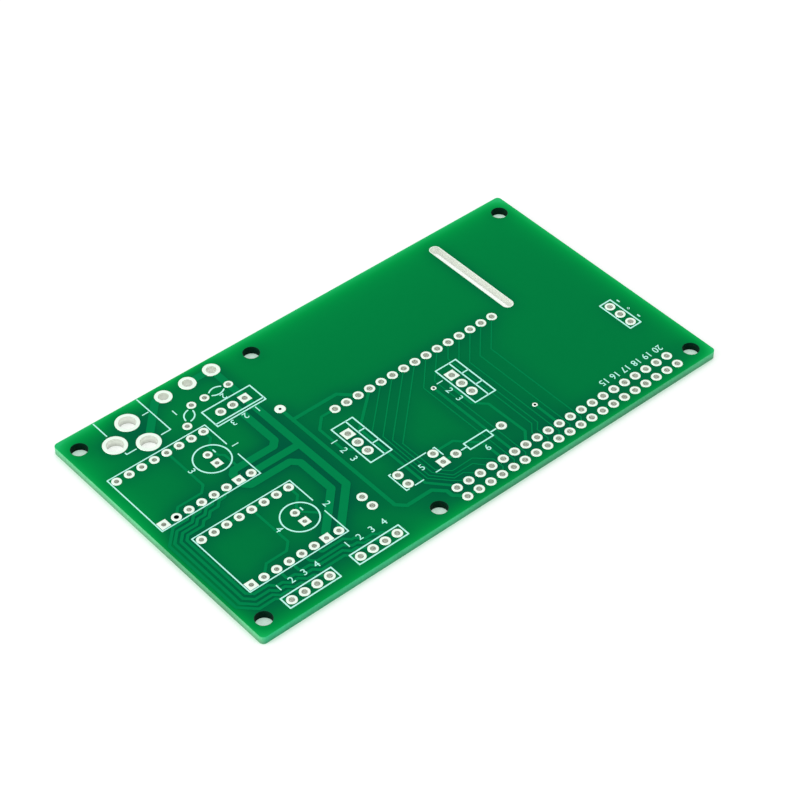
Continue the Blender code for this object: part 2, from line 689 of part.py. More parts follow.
def meet(pad):
    """How far from a pad's centre a track stops, so that the two stay apart."""
    return facet_radius(pad, PAD_SIDES) + LAYER_GAP


def make_jack_track():
    """From the jack's front pin, diagonally to the first terminal."""
    terminal = TERMINAL_PINS[0]
    rise = terminal.y - JACK_Y
    start_x = terminal.x - rise
    near_jack = (meet(JACK_PAD) + SUPPLY_TRACK / 2) * math.sqrt(0.5)
    near_terminal = meet(TERMINAL_PAD) * math.sqrt(0.5)
    points = [
        (start_x + near_jack, JACK_Y + near_jack),
        (terminal.x - near_terminal, terminal.y - near_terminal),
    ]
    track("jack_track", points, SUPPLY_TRACK)


def make_supply_tracks():
    """From the last two terminals down past the regulator to both drivers."""
    middle, last = TERMINAL_PINS[1:]
    reach = meet(TERMINAL_PAD)
    track("terminal_link", [(middle.x + reach, TERMINAL_Y), (last.x - reach, TERMINAL_Y)], SUPPLY_TRACK)
    disc_reach = meet(CAPACITOR_PAD)
    square_reach = PART_PAD / 2 + LAYER_GAP
    terminal_run = [(SUPPLY_X, TERMINAL_Y - reach), (SUPPLY_X, DISC_Y + disc_reach)]
    regulator_run = [(SUPPLY_X, DISC_Y - disc_reach), (SUPPLY_X, REGULATOR_Y + square_reach)]
    track("terminal_supply_track", terminal_run, SUPPLY_TRACK)
    track("regulator_supply_track", regulator_run, SUPPLY_TRACK)
    slant = meet(DRIVER_PAD) * math.sqrt(0.5)
    points = [
        (SUPPLY_X, REGULATOR_Y - square_reach),
        (SUPPLY_X, LOWER_DRIVER_Y + SUPPLY_BEND),
        (SUPPLY_X - SUPPLY_BEND + slant, LOWER_DRIVER_Y + slant),
    ]
    supply = track("driver_supply_track", points, SUPPLY_TRACK)
    upper_pad_x = UPPER_DRIVER_X + DRIVER_LENGTH
    branch = [(SUPPLY_X, UPPER_DRIVER_Y), (upper_pad_x + meet(DRIVER_PAD), UPPER_DRIVER_Y)]
    combine(supply, make_helper(track("upper_driver_branch", branch, SUPPLY_TRACK)), "UNION")


def make_logic_tracks():
    """From the regulator's middle pin to the logic supply pin of each driver."""
    upper_x = UPPER_DRIVER_X + DRIVER_SQUARE_PINS[1] * PITCH
    lower_x = LOWER_DRIVER_X + DRIVER_SQUARE_PINS[1] * PITCH
    square_reach = DRIVER_PAD / 2 + LAYER_GAP
    back_y = UPPER_DRIVER_Y + LOGIC_BACK_Y
    front_y = UPPER_DRIVER_Y - LOGIC_FRONT_Y
    corner, pad_corner = LOGIC_CORNER, LOGIC_PAD_CORNER
    back_points = [
        (LOGIC_X, REGULATOR_Y - meet(PART_PAD)),
        (LOGIC_X, back_y + corner),
        (LOGIC_X - corner, back_y),
        (upper_x + pad_corner, back_y),
        (upper_x, back_y - pad_corner),
        (upper_x, UPPER_DRIVER_Y + square_reach),
    ]
    track("upper_logic_track", back_points, SUPPLY_TRACK)
    front_points = [
        (upper_x, UPPER_DRIVER_Y - square_reach),
        (upper_x, front_y + pad_corner),
        (upper_x + pad_corner, front_y),
        (LOGIC_X - corner, front_y),
        (LOGIC_X, front_y - corner),
        (LOGIC_X, LOWER_DRIVER_Y + LOGIC_BEND),
        (lower_x + square_reach, LOWER_DRIVER_Y + LOGIC_BEND - (LOGIC_X - lower_x - square_reach)),
    ]
    track("lower_logic_track", front_points, SUPPLY_TRACK)


def make_ground_track():
    """From the ground via down the board to the header's first pin, with a branch to the module row."""
    slant = meet(PIN_PAD) * math.sqrt(0.5)
    front_y = GROUND_FRONT_Y
    points = [
        (GROUND_X, GROUND_VIA_Y - meet(GROUND_VIA_PAD)),
        (GROUND_X, front_y + GROUND_CORNER),
        (GROUND_X + GROUND_CORNER, front_y),
        (GROUND_TURN_Y - front_y - GROUND_ENTRY, front_y),
        (-GROUND_ENTRY, GROUND_TURN_Y),
        (-GROUND_ENTRY, GROUND_ENTRY),
        (-slant, slant),
    ]
    ground = track("ground_track", points, GROUND_TRACK)
    pad_x = MODULE_X + 2 * PITCH
    branch_y = MODULE_Y + GROUND_BRANCH_Y
    branch = [
        (GROUND_X, branch_y),
        (pad_x - GROUND_BRANCH_Y, branch_y),
        (pad_x - slant, MODULE_Y + slant),
    ]
    combine(ground, make_helper(track("module_ground_branch", branch, GROUND_TRACK)), "UNION")


def make_tracks():
    """All supply tracks."""
    make_jack_track()
    make_supply_tracks()
    make_logic_tracks()
    make_ground_track()


make_board()
make_eyelets()
make_slot_lining()
make_legend()
make_tracks()
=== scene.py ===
"""Dresses the bare expansion board for a studio render.

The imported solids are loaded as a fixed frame. The board, its plated holes, its copper and its printed
legend are then modelled finely around them and given procedural finishes.

Places are written in millimetres in the layout frame, whose origin is the first pin of the two-row
header, and are turned into metres in the row frame when a piece is made.
"""

import logging
import math
from collections.abc import Callable, Sequence
from dataclasses import dataclass, field
from enum import Enum, IntEnum

import bmesh
import bpy
import numpy as np
from mathutils import Matrix, Vector


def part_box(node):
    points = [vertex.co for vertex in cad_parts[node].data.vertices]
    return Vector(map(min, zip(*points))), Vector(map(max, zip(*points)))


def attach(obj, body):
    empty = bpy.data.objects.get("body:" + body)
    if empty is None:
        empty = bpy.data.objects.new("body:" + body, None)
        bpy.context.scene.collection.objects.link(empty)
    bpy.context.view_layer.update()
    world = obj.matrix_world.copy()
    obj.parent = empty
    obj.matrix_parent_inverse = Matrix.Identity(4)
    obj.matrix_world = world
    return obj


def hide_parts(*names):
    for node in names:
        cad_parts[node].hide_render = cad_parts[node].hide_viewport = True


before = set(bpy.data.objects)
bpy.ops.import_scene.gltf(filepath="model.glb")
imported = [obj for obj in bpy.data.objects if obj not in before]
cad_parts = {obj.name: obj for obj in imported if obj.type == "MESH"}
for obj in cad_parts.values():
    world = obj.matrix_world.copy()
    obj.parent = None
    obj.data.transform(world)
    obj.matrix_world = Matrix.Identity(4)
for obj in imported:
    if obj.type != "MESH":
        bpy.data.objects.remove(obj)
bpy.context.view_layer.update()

LOG = logging.getLogger("expansion_board")

MM = 0.001
BODY = "root"
PITCH = 2.54

# Metres under which two points are one
SAME_PLACE = 1e-6
SMOOTH_ANGLE = math.radians(40)

# Index of the wall's material in the laminate and in the slot lining
WALL = 1

Point = tuple[float, float]
Path = list[Point]
Color = tuple[float, float, float]
Stops = tuple[tuple[float, Color], ...]
Socket = bpy.types.NodeSocket
Material = bpy.types.Material
Object = bpy.types.Object


class Slot(Enum):
    """The record's material slots."""

    MASK = "solder_mask"
    TRACK = "masked_track"
    TIN = "tinned_copper"
    INK = "legend_ink"


# Layout


@dataclass(frozen=True)
class Pin:
    """One plated hole, in layout millimetres.

    Attributes:
        x: Along the header.
        y: Towards the back edge.
        pad: Width of its pad.
        hole: Width of the finished hole.
        square: Whether the pad is square.
    """

    x: float
    y: float
    pad: float
    hole: float
    square: bool = False

    @property
    def place(self) -> Point:
        """Its middle."""
        return self.x, self.y


@dataclass(frozen=True)
class Outline:
    """The board's outline and layers, in layout millimetres.

    Attributes:
        left: Where the left edge lies.
        right: The right edge.
        front: The front edge, beside the header.
        back: The back edge.
        thickness: Of the whole board.
        mask: Thickness of a coat of mask.
        corner: Radius of a corner.
        mount_hole: Width of a mounting hole.
        mount_columns: Where the mounting holes lie along the header.
        mount_rows: Where they lie towards the back edge.
        cutter_reach: How far a cutter runs past either face.
    """

    left: float = -43.99
    right: float = 55.71
    front: float = -2.02
    back: float = 53.34
    thickness: float = 1.6
    mask: float = 0.02
    corner: float = 0.8
    mount_hole: float = 3.0
    mount_columns: tuple[float, ...] = (-41.22, -5.135, 52.72)
    mount_rows: tuple[float, ...] = (1.12, 49.71)
    cutter_reach: float = 1.0

    @property
    def length(self) -> float:
        """From left to right."""
        return self.right - self.left

    @property
    def depth(self) -> float:
        """From front to back."""
        return self.back - self.front

    @property
    def centre(self) -> Point:
        """Middle of the outline."""
        return (self.left + self.right) / 2, (self.front + self.back) / 2

    @property
    def cutter_span(self) -> tuple[float, float]:
        """Heights of a cutter's foot and head."""
        return -self.cutter_reach, self.thickness + self.cutter_reach

    @property
    def mounts(self) -> list[Vector]:
        """Foot of each mounting hole's axis."""
        return [self.place(x, y) for x in self.mount_columns for y in self.mount_rows]

    def place(self, x: float, y: float, z: float = 0.0) -> Vector:
        """A layout point, at a height over the underside, as metres in the row frame."""
        centre_x, centre_y = self.centre
        return Vector(((x - centre_x) * MM, (y - centre_y) * MM, z * MM))


OUTLINE = Outline()


def pin_row(
    start: Point,
    count: int,
    pad: float,
    hole: float,
    step: Point = (PITCH, 0.0),
    squares: Sequence[int] = (),
) -> list[Pin]:
    """A straight row of pins, a step apart, some of them with square pads."""
    (x, y), (step_x, step_y) = start, step
    return [Pin(x + i * step_x, y + i * step_y, pad, hole, i in squares) for i in range(count)]


def upright(
    x: float, y: float, count: int, pad: float, hole: float, squares: Sequence[int] = ()
) -> list[Pin]:
    """A row of pins that runs towards the back edge."""
    return pin_row((x, y), count, pad, hole, (0.0, PITCH), squares)


def header_pins() -> list[Pin]:
    """Both rows of the header."""
    count, pad, hole = 20, 1.86, 1.03
    return pin_row((0.0, 0.0), count, pad, hole) + pin_row((0.0, PITCH), count, pad, hole)


def driver_pins(x: float, y: float) -> list[Pin]:
    """Both rows of a driver socket.

    Args:
        x: Of its front left pin.
        y: Of the same pin.

    Returns:
        The front row and the back row.
    """
    count, pad, hole, rows_apart = 8, 1.78, 0.85, 5 * PITCH
    front = pin_row((x, y), count, pad, hole, squares=(0, 6))
    return front + pin_row((x, y + rows_apart), count, pad, hole)


def disc_pins() -> list[Pin]:
    """Leads of the disc capacitors.

    Returns:
        Two of the tilted one and two of the level one.
    """
    pad, hole, slant = 1.68, 0.89, 2 * PITCH * math.sqrt(0.5)
    x, y = -24.43, 46.03
    return [Pin(*place, pad, hole) for place in ((x, y - slant), (x + slant, y), (-18.08, y), (-13.0, y))]


def optocoupler_pins() -> list[Pin]:
    """The optocoupler's right column and its left one, each from the front."""
    y, pad, hole = 8.41, 1.88, 0.99
    return upright(2.2, y, 2, pad, hole, (0,)) + upright(-5.42, y, 2, pad, hole)


PIN_GROUPS: dict[str, list[Pin]] = {
    "header_eyelets": header_pins(),
    "module_eyelets": pin_row((-3.19, 29.6), 15, 1.9, 1.07),
    "upper_driver_eyelets": driver_pins(-40.94, 26.99),
    "lower_driver_eyelets": driver_pins(-38.40, 7.75),
    "left_motor_eyelets": pin_row((-35.55, 1.24), 4, 1.88, 1.0),
    "right_motor_eyelets": pin_row((-21.58, 1.24), 4, 1.88, 1.0),
    "signal_eyelets": upright(49.82, 12.88, 3, 1.88, 1.06),
    "disc_eyelets": disc_pins(),
    "vias": [Pin(-10.16, 35.6, 1.96, 0.5), Pin(12.67, 22.6, 0.98, 0.46), Pin(22.86, 8.48, 0.98, 0.46)],
    "resistor_eyelets": pin_row((5.04, 8.48), 2, 1.88, 1.0, (4 * PITCH, 0.0)),
    "jumper_eyelets": upright(-13.0, 8.48, 2, 1.86, 1.0),
    "jack_eyelets": [Pin(*place, 4.3, 3.0) for place in ((-31.49, 43.64), (-31.49, 49.64), (-36.19, 46.64))],
    "terminal_eyelets": pin_row((-23.16, 50.76), 3, 3.14, 1.8, (2 * PITCH, 0.0)),
    "regulator_eyelets": pin_row((-18.08, 41.57), 3, 1.88, 1.03, squares=(2,)),
    "left_transistor_eyelets": upright(-5.41, 18.55, 3, 2.01, 1.15, (2,)),
    "right_transistor_eyelets": upright(17.12, 17.91, 3, 2.01, 1.15, (2,)),
    "optocoupler_eyelets": optocoupler_pins(),
    "upper_capacitor_eyelets": pin_row((-25.985, 32.41), 2, 1.64, 0.8, (0.0, 2.5), (0,)),
    "lower_capacitor_eyelets": pin_row((-23.445, 12.85), 2, 1.64, 0.8, (0.0, 2.5), (0,)),
}

# Plated holes whose wall takes the near-black finish, a painted shade in the hole
PAINTED_SHADE_PINS: list[Pin] = [PIN_GROUPS["upper_driver_eyelets"][1], *PIN_GROUPS["vias"]]

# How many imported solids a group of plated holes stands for; the other groups are in the board's own solid
EYELET_NODES: dict[str, int] = {
    "jack": 3,
    "terminal": 3,
    "regulator": 3,
    "left_transistor": 3,
    "right_transistor": 3,
    "optocoupler": 4,
    "upper_capacitor": 2,
    "lower_capacitor": 2,
}


@dataclass(frozen=True)
class Copper:
    """Copper lines of one width.

    Attributes:
        width: Of each line.
        paths: Corners of each line.
        height: Over the board; lines of different height cross without a flicker.
        nodes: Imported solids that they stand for.
    """

    width: float
    paths: tuple[Path, ...]
    height: float = 0.035
    nodes: tuple[str, ...] = ()


TRACKS: dict[str, Copper] = {
    "supply_tracks": Copper(
        1.45,
        (
            [(-31.49, 43.72), (-25.0, 50.65), (-23.16, 50.76)],
            [(-18.08, 50.76), (-13.0, 50.76)],
            [(-13.0, 50.76), (-13.0, 46.03)],
            [(-13.0, 46.03), (-13.0, 41.57)],
            [(-13.0, 41.57), (-13.0, 14.99), (-20.24, 7.75)],
        ),
        nodes=(
            "jack_track",
            "terminal_link",
            "terminal_supply_track",
            "regulator_supply_track",
            "driver_supply_track",
        ),
    ),
    "upper_driver_branch": Copper(1.45, ([(-13.0, 26.99), (-23.16, 26.99)],), 0.034),
    "logic_tracks": Copper(
        1.45,
        (
            [(-15.54, 41.57), (-15.54, 30.43), (-16.61, 29.36), (-24.9, 29.36), (-25.7, 28.55)]
            + [(-25.7, 26.99)],
            [(-25.7, 26.99), (-25.7, 25.66), (-24.9, 24.85), (-16.76, 24.85), (-15.54, 23.63)]
            + [(-15.54, 15.76), (-22.9, 8.4)],
        ),
        nodes=("upper_logic_track", "lower_logic_track"),
    ),
    "ground_track": Copper(
        0.75,
        (
            [(-10.16, 35.6), (-10.16, 6.2), (-8.77, 4.81), (-3.51, 4.81), (-1.75, 3.05), (-1.75, 1.75)]
            + [(0.0, 0.0)],
        ),
        nodes=("ground_track",),
    ),
    "module_ground_branch": Copper(0.75, ([(-10.16, 32.19), (-0.7, 32.19), (1.89, 29.6)],), 0.034),
    "module_tracks": Copper(
        0.55,
        (
            [(-3.19, 29.6), (-6.13, 29.6), (-8.33, 27.4), (-8.33, 21.47), (-5.41, 18.55)],
            [(4.43, 29.6), (-3.2, 23.2), (-3.2, 6.75), (-0.4, 3.6), (0.0, 2.54)],
            [(12.67, 22.6), (12.7, 2.54)],
            [(17.12, 22.99), (15.1, 20.97), (15.1, 15.7), (17.1, 13.7), (17.3, 4.95), (15.24, 2.54)],
            [(2.2, 11.02), (6.63, 11.02), (10.1, 7.55), (10.16, 2.54)],
            [(2.2, 8.48), (5.04, 8.48)],
            [(22.86, 8.48), (22.86, 2.54)],
            [(0.0, 0.0), (2.54, 0.0)],
        ),
        0.032,
    ),
    "module_signal_tracks": Copper(
        0.23,
        (
            [(6.97, 29.6), (-2.2, 21.2), (-2.25, 7.25), (0.5, 4.2), (2.54, 2.54)],
            [(9.51, 29.6), (-1.4, 19.35), (-1.6, 7.6), (1.1, 4.45), (3.05, 4.43), (5.08, 2.54)],
            [(12.05, 29.6), (-0.77, 17.65), (-0.8, 7.75), (1.45, 5.05), (5.6, 4.98), (7.62, 2.54)],
            [(14.59, 29.6), (0.0, 15.95), (0.0, 7.95), (1.95, 5.9), (6.4, 5.95), (8.89, 3.5)]
            + [(8.89, 1.2), (7.62, 0.0)],
            [(17.13, 29.6), (11.4, 23.7), (11.4, 1.2), (10.16, 0.0)],
            [(19.67, 29.6), (13.95, 23.8), (13.95, 1.2), (12.7, 0.0)],
            [(22.21, 29.6), (19.35, 26.45), (19.35, 5.55), (17.9, 3.9), (17.78, 2.54)],
            [(24.75, 29.6), (20.3, 24.7), (20.3, 5.1), (19.05, 3.85), (19.05, 1.25), (17.78, 0.0)],
            [(27.29, 29.6), (21.6, 23.4), (21.6, 1.25), (20.32, 0.0)],
            [(29.83, 29.6), (24.05, 23.45), (24.05, 1.25), (22.86, 0.0)],
            [(32.37, 29.6), (26.65, 23.5), (26.65, 1.25), (25.4, 0.0)],
        ),
        0.03,
    ),
    "driver_tracks": Copper(
        0.5,
        (
            [(-35.86, 39.69), (-33.32, 39.69)],
            [(-30.78, 39.69), (-28.24, 39.69)],
            [(-28.24, 39.69), (-25.7, 39.69)],
            [(-33.32, 20.45), (-30.78, 20.45)],
            [(-28.24, 20.45), (-25.7, 20.45)],
            [(-25.7, 20.45), (-23.16, 20.45)],
            [(-30.78, 39.69), (-30.78, 29.9), (-32.08, 28.6), (-36.9, 28.6), (-38.4, 27.1)],
            [(-23.16, 39.69), (-23.16, 37.74), (-24.7, 36.2), (-24.7, 33.8), (-23.9, 33.0), (-23.9, 29.8)],
            [(-28.24, 20.45), (-28.24, 11.2), (-29.7, 9.75), (-33.8, 9.75), (-35.86, 7.75)],
            [(-20.62, 20.45), (-20.62, 18.1), (-22.45, 16.27), (-22.45, 14.8), (-20.2, 12.55)],
        ),
        0.031,
    ),
    "left_motor_tracks": Copper(
        0.55,
        (
            [(-35.86, 26.99), (-37.4, 25.45), (-40.25, 25.45), (-43.1, 22.6), (-43.1, 5.6), (-40.55, 3.05)]
            + [(-37.36, 3.05), (-35.55, 1.24)],
            [(-33.32, 26.99), (-34.86, 25.45), (-36.15, 25.45), (-37.15, 24.45), (-40.2, 24.45)]
            + [(-42.15, 22.5), (-42.15, 5.9), (-40.25, 4.0), (-37.2, 4.0), (-36.25, 3.05), (-34.82, 3.05)]
            + [(-33.01, 1.24)],
            [(-30.78, 26.99), (-32.32, 25.45), (-33.6, 25.45), (-34.6, 24.45), (-36.1, 24.45)]
            + [(-37.0, 23.55), (-39.75, 23.55), (-41.15, 22.15), (-41.15, 6.35), (-39.8, 5.0)]
            + [(-36.95, 5.0), (-36.0, 4.05), (-34.6, 4.05), (-33.6, 3.05), (-32.28, 3.05), (-30.47, 1.24)],
            [(-28.24, 26.99), (-29.78, 25.45), (-30.95, 25.45), (-31.95, 24.45), (-33.55, 24.45)]
            + [(-34.45, 23.55), (-35.5, 23.55), (-36.4, 22.65), (-39.4, 22.65), (-40.2, 21.85)]
            + [(-40.2, 6.95), (-39.25, 6.0), (-36.45, 6.0), (-35.45, 5.0), (-34.4, 5.0), (-33.45, 4.05)]
            + [(-31.95, 4.05), (-30.95, 3.05), (-29.74, 3.05), (-27.93, 1.24)],
        ),
        0.033,
    ),
    "right_motor_tracks": Copper(
        0.55,
        (
            [(-33.32, 7.75), (-33.32, 5.35), (-33.0, 5.05), (-31.9, 5.05), (-30.9, 4.05), (-29.1, 4.05)]
            + [(-28.1, 3.05), (-23.39, 3.05), (-21.58, 1.24)],
            [(-30.78, 7.75), (-30.78, 5.4), (-30.45, 5.07), (-28.85, 5.07), (-27.85, 4.07)]
            + [(-22.95, 4.07), (-21.93, 3.05), (-20.85, 3.05), (-19.04, 1.24)],
            [(-28.24, 7.75), (-28.24, 5.8), (-27.4, 4.96), (-22.2, 4.96), (-21.1, 3.86), (-20.1, 3.86)]
            + [(-19.3, 3.05), (-18.31, 3.05), (-16.5, 1.24)],
            [(-25.7, 7.75), (-25.7, 6.2), (-25.45, 5.95), (-21.3, 5.95), (-20.3, 4.95), (-19.75, 4.95)]
            + [(-18.5, 3.7), (-17.05, 3.7), (-16.4, 3.05), (-15.77, 3.05), (-13.96, 1.24)],
        ),
        0.032,
    ),
}


# Finishes


@dataclass(frozen=True)
class Grain:
    """Noise of one fineness.

    Attributes:
        scale: Cells to the metre.
        detail: Octaves.
        roughness: Weight of the fine octaves.
        low: What the noise becomes where it is 0.
        high: What it becomes where it is 1.
    """

    scale: float
    detail: float = 3.0
    roughness: float = 0.5
    low: float = 0.0
    high: float = 1.0


@dataclass(frozen=True)
class Relief:
    """A fine unevenness of the surface.

    Attributes:
        grain: Its noise.
        depth: Of the relief, in metres.
        strength: Share of it that shows.
    """

    grain: Grain
    depth: float
    strength: float


@dataclass(frozen=True)
class Nodes:
    """A node tree under construction.

    Attributes:
        tree: The tree.
    """

    tree: bpy.types.NodeTree

    def node(self, kind: str, **values: object) -> bpy.types.Node:
        """Adds a node.

        Args:
            kind: Blender's name of the node type.
            values: Properties to set on it.

        Returns:
            The node.
        """
        made = self.tree.nodes.new(kind)
        for key, value in values.items():
            setattr(made, key, value)
        return made

    def link(self, source: Socket, target: Socket) -> None:
        """Joins an output to an input."""
        self.tree.links.new(source, target)

    def feed(self, value: Socket | Sequence[float] | float, target: Socket) -> None:
        """Gives an input its value.

        Args:
            value: An output to join it to, or a constant.
            target: The input.
        """
        if isinstance(value, Socket):
            self.link(value, target)
        else:
            target.default_value = value

    def operate(self, kind: str, output: str, operation: str, *values: Socket | Color | float) -> Socket:
        """Combines values in a node.

        Args:
            kind: Blender's name of the node type.
            output: Name of the result.
            operation: What to do with the values.
            values: Sockets or constants.

        Returns:
            The result.
        """
        made = self.node(kind, operation=operation)
        for socket, value in zip(made.inputs, values):
            self.feed(value, socket)
        return made.outputs[output]

    def math(self, operation: str, *values: Socket | float) -> Socket:
        """Combines values."""
        return self.operate("ShaderNodeMath", "Value", operation, *values)

    def vector(self, operation: str, *values: Socket | Color, output: str = "Vector") -> Socket:
        """Combines vectors or colours."""
        return self.operate("ShaderNodeVectorMath", output, operation, *values)

    def place(self, name: str = "Object") -> Socket:
        """The shaded point, or its normal."""
        return self.node("ShaderNodeTexCoord").outputs[name]

    def axis(self, vector: Socket, name: str) -> Socket:
        """One axis of a vector.

        Args:
            vector: The vector.
            name: X, Y or Z.

        Returns:
            The axis.
        """
        parts = self.node("ShaderNodeSeparateXYZ")
        self.link(vector, parts.inputs["Vector"])
        return parts.outputs[name]

    def spread(
        self, source: Socket, low: float, high: float, start: float = 0.0, end: float = 1.0
    ) -> Socket:
        """Stretches a value from start..end to low..high.

        Args:
            source: The value.
            low: The result at the start.
            high: The result at the end.
            start: Where the stretch begins.
            end: Where it ends.

        Returns:
            The result.
        """
        made = self.node("ShaderNodeMapRange")
        for name, value in zip(("From Min", "From Max", "To Min", "To Max"), (start, end, low, high)):
            made.inputs[name].default_value = value
        self.link(source, made.inputs["Value"])
        return made.outputs["Result"]

    def ramp(self, source: Socket, stops: Stops) -> Socket:
        """Colours a value.

        Args:
            source: The value.
            stops: Position and linear colour of each stop.

        Returns:
            The colour.
        """
        made = self.node("ShaderNodeValToRGB")
        elements = made.color_ramp.elements
        while len(elements) < len(stops):
            elements.new(0.5)
        for element, (position, color) in zip(elements, stops):
            element.position = position
            element.color = (*color, 1.0)
        self.link(source, made.inputs["Fac"])
        return made.outputs["Color"]

    def tint(self, color: Socket | Color, amount: Socket) -> Socket:
        """Multiplies a colour by a value near 1.

        Args:
            color: The colour.
            amount: The value.

        Returns:
            The result.
        """
        made = self.node("ShaderNodeVectorMath", operation="SCALE")
        self.feed(color, made.inputs[0])
        self.link(amount, made.inputs["Scale"])
        return made.outputs["Vector"]

    def mix(self, share: Socket, first: Socket, second: Color) -> Socket:
        """Mixes two colours.

        Args:
            share: How much of the second one.
            first: One colour.
            second: The other colour.

        Returns:
            The mix.
        """
        made = self.node("ShaderNodeMix", data_type="RGBA")
        share_input, first_input, second_input, mixed_output = 0, 6, 7, 2
        self.link(share, made.inputs[share_input])
        self.link(first, made.inputs[first_input])
        made.inputs[second_input].default_value = (*second, 1.0)
        return made.outputs[mixed_output]

    def noise(self, grain: Grain) -> Socket:
        """Noise on Object coordinates.

        Args:
            grain: Its fineness.

        Returns:
            The noise, from 0 to 1.
        """
        made = self.node("ShaderNodeTexNoise")
        values = (grain.scale, grain.detail, grain.roughness)
        for name, value in zip(("Scale", "Detail", "Roughness"), values):
            made.inputs[name].default_value = value
        self.link(self.place(), made.inputs["Vector"])
        return made.outputs["Fac"]

    def cloud(self, grain: Grain) -> Socket:
        """Noise stretched to the grain's own range."""
        return self.spread(self.noise(grain), grain.low, grain.high)


@dataclass(frozen=True)
class Shader(Nodes):
    """A Principled material under construction.

    Attributes:
        material: The material.
    """

    material: Material

    @property
    def principled(self) -> bpy.types.Node:
        """Its Principled BSDF."""
        return self.tree.nodes["Principled BSDF"]

    def color(self, source: Socket) -> None:
        """Joins a colour to the base colour."""
        self.link(source, self.principled.inputs["Base Color"])

    def bump(self, relief: Relief) -> None:
        """Gives the surface a relief.

        Args:
            relief: The relief.
        """
        made = self.node("ShaderNodeBump")
        made.inputs["Distance"].default_value = relief.depth
        made.inputs["Strength"].default_value = relief.strength
        self.link(self.noise(relief.grain), made.inputs["Height"])
        self.link(made.outputs["Normal"], self.principled.inputs["Normal"])


def start_shader(
    name: str, color: Color, roughness: float, metallic: float = 0.0, specular: float = 0.5
) -> Shader:
    """A new Principled material.

    Args:
        name: The finish's name.
        color: Its colour where nodes aren't read.
        roughness: Of the whole surface.
        metallic: 1 for bare metal.
        specular: Specular level.

    Returns:
        The shader, to be detailed.
    """
    material = bpy.data.materials.new(name)
    material.use_nodes = True
    material.diffuse_color = (*color, 1.0)
    shader = Shader(material.node_tree, material)
    inputs = shader.principled.inputs
    inputs["Base Color"].default_value = (*color, 1.0)
    inputs["Roughness"].default_value = roughness
    inputs["Metallic"].default_value = metallic
    inputs["Specular IOR Level"].default_value = specular
    return shader


@dataclass(frozen=True)
class Finish:
    """A finish, with a colour that its noise varies.

    Attributes:
        name: Its name.
        color: Its colour.
        stops: Colours of a finish that has several, each with its place in what it is read from.
        mottle: Noise that the colour varies with.
        relief: Unevenness of the surface, if it has any.
        roughness: Of the surface.
        metallic: 1 for bare metal.
        gloss: Specular level.
    """

    name: str
    color: Color
    stops: Stops = ()
    mottle: Grain = Grain(900.0)
    relief: Relief | None = None
    roughness: float = 0.6
    metallic: float = 0.0
    gloss: float = 0.5

    def paint(self, shader: Shader) -> Socket:
        """The colour of each point."""
        return shader.tint(self.color, shader.cloud(self.mottle))

    def material(self) -> Material:
        """Builds the finish.

        Returns:
            The material.
        """
        shader = start_shader(self.name, self.color, self.roughness, self.metallic, self.gloss)
        shader.color(self.paint(shader))
        if self.relief:
            shader.bump(self.relief)
        return shader.material


@dataclass(frozen=True)
class PatchyFinish(Finish):
    """A finish whose colours follow its noise."""

    def paint(self, shader: Shader) -> Socket:
        """The colour of each point."""
        return shader.ramp(shader.noise(self.mottle), self.stops)


@dataclass(frozen=True)
class MaskedCopper(Finish):
    """Translucent green mask over copper."""

    name: str = "masked_track"
    color: Color = (0.0006, 0.224, 0.070)
    mottle: Grain = Grain(700.0, low=0.96, high=1.04)
    relief: Relief = Relief(Grain(2500.0, 2.0), 0.000004, 0.3)
    roughness: float = 0.32
    gloss: float = 0.004


@dataclass(frozen=True)
class SolderMask(MaskedCopper):
    """The same mask on bare laminate, with painted light and shade: darker beside copper and lighter towards
    the outline.
    """

    name: str = "solder_mask"
    color: Color = (0.0003, 0.20, 0.048)
    stops: Stops = (
        (0.2, (0.0002, 0.10, 0.046)),
        (0.4, (0.0003, 0.20, 0.048)),
        (0.6, (0.0003, 0.30, 0.058)),
        (0.84, (0.006, 0.42, 0.095)),
        (1.0, (0.02, 0.50, 0.155)),
    )
    mottle: Grain = Grain(900.0, 4.0, 0.6, 0.97, 1.03)
    roughness: float = 0.35

    def paint(self, shader: Shader) -> Socket:
        """The colour of each point: painted light and shade from the `light` attribute of the coat."""
        light = shader.node("ShaderNodeAttribute", attribute_name="light")
        return shader.tint(shader.ramp(light.outputs["Fac"], self.stops), shader.cloud(self.mottle))


